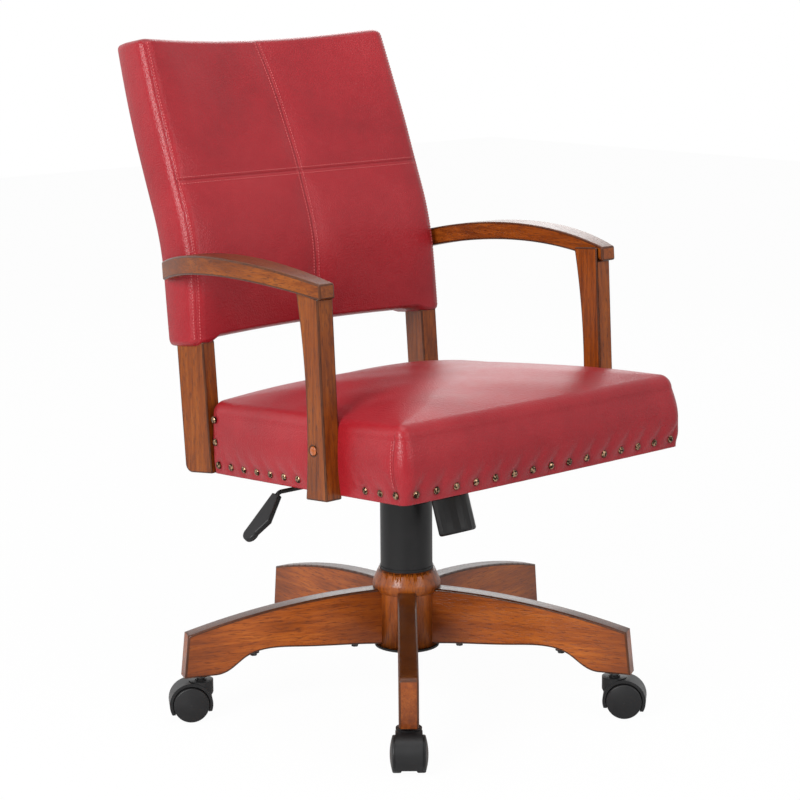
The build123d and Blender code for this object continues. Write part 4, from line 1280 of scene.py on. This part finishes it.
@dataclass
class WoodFrame:
    """Stained wooden base, posts and arms, with eased edges, painted shade on leg crests and rail tops, and
    painted light on the left arm.
    """

    weld: float = 2e-6
    flat_angle: float = math.radians(0.6)
    ease: float = 0.0026
    ease_angle: float = math.radians(28)
    edge_bends: tuple[float, float] = (160.0, 6400.0)
    crest_lean: float = 0.35
    crest_rise: float = 0.3
    rail_rise: float = 0.8
    flat_weight: int = 80
    first_leg: float = math.radians(-131.8)
    leg_step: float = math.radians(72.0)
    hub_shade: float = 1.2
    leg_shade: float = 1.5
    rear_shade: float = 0.9
    # Stain of each arm's post and rail. The left arm's lighter values are painted light, because that arm
    # lies further from the key lamp.
    arm_stains_and_painted_light: tuple[tuple[str, float, float], ...] = (("left", 1.15, 1.08), ("right", 0.9, 0.84))
    button_size: tuple[float, float] = (0.0062, 0.0022)
    button_sink: float = 0.0012

    def finishes_by_node(self) -> dict[str, WoodFinish]:
        """Give each wooden node its grain direction and shade.

        Returns:
            Finish by node.
        """
        table = {"hub": WoodFinish("hub_wood", Grain.UPRIGHT, 0.0, self.hub_shade)}
        for index in range(5):
            name = f"leg_{index + 1}"
            heading = self.first_leg + index * self.leg_step
            table[name] = WoodFinish(f"{name}_wood", Grain.ACROSS, heading, self.leg_shade, deeper_ends=True)
        for side, post, rail in self.arm_stains_and_painted_light:
            table[f"rear_post_{side}"] = WoodFinish("rear_post_wood", Grain.UPRIGHT, 0.0, self.rear_shade)
            table[f"arm_post_{side}"] = WoodFinish(f"arm_post_{side}_wood", Grain.UPRIGHT, 0.0, post)
            table[f"arm_rail_{side}"] = WoodFinish(f"arm_rail_{side}_wood", Grain.DEPTH, 0.0, rail)
        return table

    def build(self) -> list[Piece]:
        """Ease and stain every wooden node.

        Returns:
            The pieces that stand for the nodes.
        """
        pieces = []
        for node, finish in self.finishes_by_node().items():
            # A leg's crest or a rail's top gets the darker wood, which is painted shade.
            top = RAIL_TOP_PAINTED_SHADE if node.startswith("arm_rail_") else CREST_PAINTED_SHADE
            coats = [coat(layer) for layer in (finish, BURNISHED_EDGE, top)]
            pieces.append(self._ease(node, coats, finish.angle))
        return pieces

    @staticmethod
    def _bend(face: bmesh.types.BMFace) -> float:
        """How sharply the surface turns over a face, per metre."""
        folds = (side for side in face.edges if len(side.link_faces) == 2)
        turn = sum(side.calc_face_angle(0.0) * side.calc_length() for side in folds)
        return 0.5 * turn / max(face.calc_area(), 1e-12)

    def _ease(self, node: str, coats: list[Material], angle: float) -> Piece:
        """Copy a node, round the edges of a post, and give the rounded strips their own finish and a leg's
        crest or a rail's top a darker wood as painted shade.

        Args:
            node: Name of the wooden node.
            coats: Finishes of its faces, its eased edges, and a leg's crest or a rail's top, the last being
                painted shade.
            angle: Heading of a leg.

        Returns:
            The piece that stands for the node.
        """
        source = frame["nodes"][node]
        mesh = source.data.copy()
        mesh.materials.clear()
        shape = bmesh.new()
        shape.from_mesh(mesh)
        bmesh.ops.remove_doubles(shape, verts=shape.verts, dist=self.weld)
        bmesh.ops.dissolve_limit(
            shape, angle_limit=self.flat_angle, verts=shape.verts, edges=shape.edges,
            use_dissolve_boundaries=False,
        )
        bmesh.ops.recalc_face_normals(shape, faces=shape.faces)
        square = "_post_" in node
        sideways = Vector((-math.sin(angle), math.cos(angle), 0.0))
        for face in shape.faces:
            face.smooth = True
            level = abs(face.normal.dot(sideways)) < self.crest_lean
            # Up-facing faces of legs and rails get the painted shade.
            crest = node.startswith("leg_") and level and face.normal.z > self.crest_rise
            if crest or (node.startswith("arm_rail_") and face.normal.z > self.rail_rise):
                face.material_index = 2
            elif not square:
                face.material_index = int(self.edge_bends[0] < self._bend(face) < self.edge_bends[1])
        shape.to_mesh(mesh)
        shape.free()
        for layer in coats:
            mesh.materials.append(layer)
        holder = show(f"{node}_plain", mesh)
        if square:
            bevel = holder.modifiers.new("ease", "BEVEL")
            bevel.width, bevel.segments, bevel.limit_method = self.ease, 3, "ANGLE"
            bevel.angle_limit, bevel.material, bevel.use_clamp_overlap = self.ease_angle, 1, False
        weigh = holder.modifiers.new("flats", "WEIGHTED_NORMAL")
        weigh.mode, weigh.weight, weigh.keep_sharp = "FACE_AREA", self.flat_weight, False
        return settle(applied(holder, f"{node}_stained"), source["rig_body"], "stained_wood", node)

    def buttons(self) -> Piece:
        """Set a domed cover button over the bolt through each arm post.

        Returns:
            The buttons as one piece.
        """
        low, high = (np.array(corner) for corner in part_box("arm_plugs"))
        points = np.tile((low + high) / 2, (2, 1))
        points[:, 0] = low[0] + self.button_sink, high[0] - self.button_sink
        out = np.array([[-1.0, 0.0, 0.0], [1.0, 0.0, 0.0]])
        up = np.tile([0.0, 0.0, 1.0], (2, 1))
        scatter = Scatter(SeedShape.NAIL, *self.button_size, 28, 14)
        piece = scatter.run("arm_buttons", points, up, out, coat(BUTTON_WOOD))
        return settle(piece, "seat", "stained_wood", "arm_plugs")


@dataclass
class TensionGear:
    """Fluted cup knob and the coil inside it, on a bolt under the seat. Millimetres, along the bolt."""

    bolt_y: float = -72.7
    bolt_z: float = 9.0
    bolt_hole: float = 5.2
    lean: float = math.radians(14.4)
    tongue: float = 49.8
    coil_foot: float = 103.0
    top: float = 59.0
    floor: float = 106.4
    bottom: float = 111.4
    radius: float = 26.5
    wall: float = 1.8
    lip: float = 0.5
    rounding: float = 4.0
    flutes: int = 18
    flute_depth: float = 0.7
    flute_start: float = 6.0
    flute_run: float = 30.0

    def place(self, points: Rows) -> Rows:
        """Carry points from the bolt's frame, +Z up along the bolt, into the chair's frame.

        Args:
            points: Rows of x, y, z in millimetres.

        Returns:
            Rows in metres.
        """
        x, y, z = points.T
        sin, cos = math.sin(self.lean), math.cos(self.lean)
        tipped = [x, self.bolt_y + y * cos + z * sin, self.bolt_z - y * sin + z * cos]
        return seat_to_chair(np.column_stack(tipped))

    def spring(self) -> Piece:
        """Copy the coil between the tongue and the knob, in dark steel, to stand for its node.

        Returns:
            The copied piece.
        """
        mesh = frame["nodes"]["tilt_spring"].data.copy()
        mesh.materials.clear()
        mesh.materials.append(coat(DARK_STEEL))
        piece = show("tension_coil", mesh)
        ends = self.place(np.array([[0.0, 0.0, -self.tongue], [0.0, 0.0, -self.coil_foot]]))
        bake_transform(piece)
        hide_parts("tilt_spring")
        LOG.info("%s shortens between column and seat", piece.name)
        return piece

    def knob(self) -> Piece:
        """Turn the cup with shallow flutes that fade towards its rim.

        Returns:
            The knob.
        """
        inner, low = self.radius - self.wall, self.bottom - self.rounding
        brim = self.top + self.lip
        inside = [(self.bolt_hole, self.floor), (inner, self.floor), (inner, brim)]
        rim = [(inner + self.lip, self.top), (self.radius - self.lip, self.top), (self.radius, brim)]
        smooth = len(inside + rim)
        profile = inside + rim + [(self.radius, reach) for reach in np.linspace(self.top + 3, low, 12)]
        for turn in np.radians(np.linspace(15, 90, 6)):
            radius = self.radius - self.rounding * (1 - math.cos(turn))
            profile.append((radius, low + self.rounding * math.sin(turn)))
        angles = np.linspace(0.0, 2 * math.pi, 12 * self.flutes, endpoint=False)
        wave = np.abs(np.sin(angles * self.flutes / 2)) ** 0.5
        rings = []
        for index, (radius, reach) in enumerate(profile):
            fade = ramp(reach, self.top + self.flute_start, self.flute_run) if index >= smooth else 0.0
            grown = radius - self.flute_depth * fade * wave
            level = np.full(len(angles), -reach)
            rings.append(np.column_stack([grown * np.cos(angles), grown * np.sin(angles), level]))
        verts = self.place(np.concatenate(rings))
        faces = skin(len(angles), len(rings), turned=True)
        piece = new_piece("fluted_knob", verts, faces, coat(BLACK_PLASTIC))
        return settle(piece, "knob", "black_plastic", "tension_knob")


@dataclass
class Fittings:
    """Column, mechanism, casters and hidden boards, kept as they are and given their finishes."""

    plastic: tuple[str, ...] = ("cover_", "lever_paddle", "guide_bush", "caster_hood", "wheel_")
    painted: tuple[str, ...] = ("hub_socket", "tilt_housing", "seat_plate", "gas_tube", "lever_rod")
    boards: tuple[str, ...] = ("seat_frame", "seat_board", "back_board")
    blackened: tuple[str, ...] = (
        "leg_screws", "caster_sockets", "caster_pins", "frame_bolts", "plate_bolts", "tension_bolt",
    )

    def dress(self, done: set[str]) -> None:
        """Give every node that still shows its finish.

        Args:
            done: Nodes that other pieces stand for.
        """
        table = (
            (self.plastic, BLACK_PLASTIC), (self.painted, BLACK_STEEL), (self.boards, RAW_WOOD),
            (self.blackened, DARK_STEEL),
        )
        for name, node in frame["nodes"].items():
            if name in done:
                continue
            finish: Finish = next((kind for stems, kind in table if name.startswith(stems)), STEEL)
            node.data.materials.clear()
            node.data.materials.append(coat(finish))
            LOG.info("%s dressed as %s", name, finish.name)


@dataclass(frozen=True)
class Lamp:
    """One soft square lamp that faces the chair."""

    name: str
    place: Point
    size: float
    watts: float

    def hang(self, aim: Vector) -> None:
        """Hang the lamp.

        Args:
            aim: Point that it faces.
        """
        data = bpy.data.lights.new(self.name, "AREA")
        data.energy, data.shape, data.size = self.watts, "SQUARE", self.size
        lamp = show(self.name, data)
        lamp.visible_camera = False
        turn = (aim - Vector(self.place)).to_track_quat("-Z", "Y").to_matrix().to_4x4()
        lamp.matrix_world = Matrix.Translation(self.place) @ turn


@dataclass
class Studio:
    """Pale floor, white surroundings, soft lamps and the camera."""

    eye: Point = (-2.1559, -2.3853, 1.0700)
    heading: float = math.radians(-41.972)
    pitch: float = math.radians(-11.151)
    roll: float = math.radians(-0.412)
    lens: float = 104.03
    floor_size: float = 14.0
    floor_grey: float = 0.86
    floor_glow: float = 0.97
    fill: float = 0.32
    aim: Point = (0.0, 0.0, 0.5)
    lamps: tuple[Lamp, ...] = (
        Lamp("key", (-3.0, -0.7, 1.9), 1.4, 96.0),
        Lamp("front", (0.4, -3.4, 2.1), 1.7, 30.0),
        Lamp("rim", (-2.3, 2.3, 1.2), 1.1, 5.0),
        Lamp("top", (-0.2, -0.4, 3.1), 1.8, 28.0),
        Lamp("back", (2.3, 2.3, 1.7), 1.4, 13.0),
    )

    def camera(self) -> None:
        """Stand the camera where the photograph was taken from."""
        forward = Vector((
            -math.sin(self.heading) * math.cos(self.pitch), math.cos(self.heading) * math.cos(self.pitch),
            math.sin(self.pitch),
        ))
        right = Vector((math.cos(self.heading), math.sin(self.heading), 0.0))
        up = right.cross(forward)
        turned_right = right * math.cos(self.roll) + up * math.sin(self.roll)
        turned_up = up * math.cos(self.roll) - right * math.sin(self.roll)
        data = bpy.data.cameras.new("camera")
        data.lens, data.sensor_width, data.clip_end = self.lens, 36.0, 60.0
        eye = show("camera", data)
        columns = Matrix((turned_right, turned_up, -forward)).transposed()
        eye.matrix_world = Matrix.Translation(self.eye) @ columns.to_4x4()
        bpy.context.scene.camera = eye

    def world(self) -> None:
        """Surround the chair with white for the camera and dimmer light for the object."""
        world = bpy.data.worlds.new("studio")
        bpy.context.scene.world = world
        world.use_nodes = True
        graph = Graph(world.node_tree)
        rays = graph.add("ShaderNodeLightPath").outputs
        most = rays["Is Camera Ray"]
        for kind in ("Is Glossy Ray", "Is Transmission Ray"):
            most = graph.add("ShaderNodeMath", {0: most, 1: rays[kind]}, operation="MAXIMUM").outputs[0]
        level = graph.add("ShaderNodeMapRange", {"Value": most, "To Min": self.fill, "To Max": 1.0})
        back = world.node_tree.nodes["Background"]
        graph.put(back.inputs["Color"], WHITE)
        graph.put(back.inputs["Strength"], level.outputs["Result"])

    def floor(self) -> None:
        """Lay a pale floor that shows white to the camera apart from the chair's faint shadow."""
        half = self.floor_size / 2
        mesh = bpy.data.meshes.new("floor")
        square = [(-half, -half, 0.0), (half, -half, 0.0), (half, half, 0.0), (-half, half, 0.0)]
        mesh.from_pydata(square, [], [(0, 1, 2, 3)])
        paint = Paint("floor")
        paint.done(Base_Color=(*[self.floor_grey] * 3, 1.0), Roughness=0.9)
        plain = paint.surface.outputs[0]
        glow = paint.add("ShaderNodeEmission", {"Color": WHITE, "Strength": 1.0}).outputs[0]
        soft = paint.add("ShaderNodeMixShader", {0: self.floor_glow, 1: plain, 2: glow}).outputs[0]
        seen = paint.add("ShaderNodeLightPath").outputs["Is Camera Ray"]
        mixed = paint.add("ShaderNodeMixShader", {0: seen, 1: plain, 2: soft}).outputs[0]
        paint.put(paint.tree.nodes["Material Output"].inputs["Surface"], mixed)
        mesh.materials.append(paint.material)
        show("floor", mesh)

    def build(self) -> None:
        """Set up the whole studio."""
        bpy.context.scene.view_settings.view_transform = "Standard"
        self.world()
        self.floor()
        for lamp in self.lamps:
            lamp.hang(Vector(self.aim))
        self.camera()


def main() -> None:
    """Build and dress the chair."""
    logging.basicConfig(level=logging.INFO, format="%(name)s: %(message)s")
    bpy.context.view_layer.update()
    seat = SeatUpholstery()
    seat.build()
    seat.corner_stitches()
    seat.nails()
    back = BackUpholstery()
    back.build()
    back.stitches()
    wood = WoodFrame()
    wood.build()
    wood.buttons()
    gear = TensionGear()
    gear.spring()
    gear.knob()
    replaced = {"seat_cushion", "back_cushion", "seat_nails", "arm_plugs", "tilt_spring", "tension_knob"}
    Fittings().dress(replaced | set(wood.finishes_by_node()))
    Studio().build()


if __name__ == "__main__":
    main()
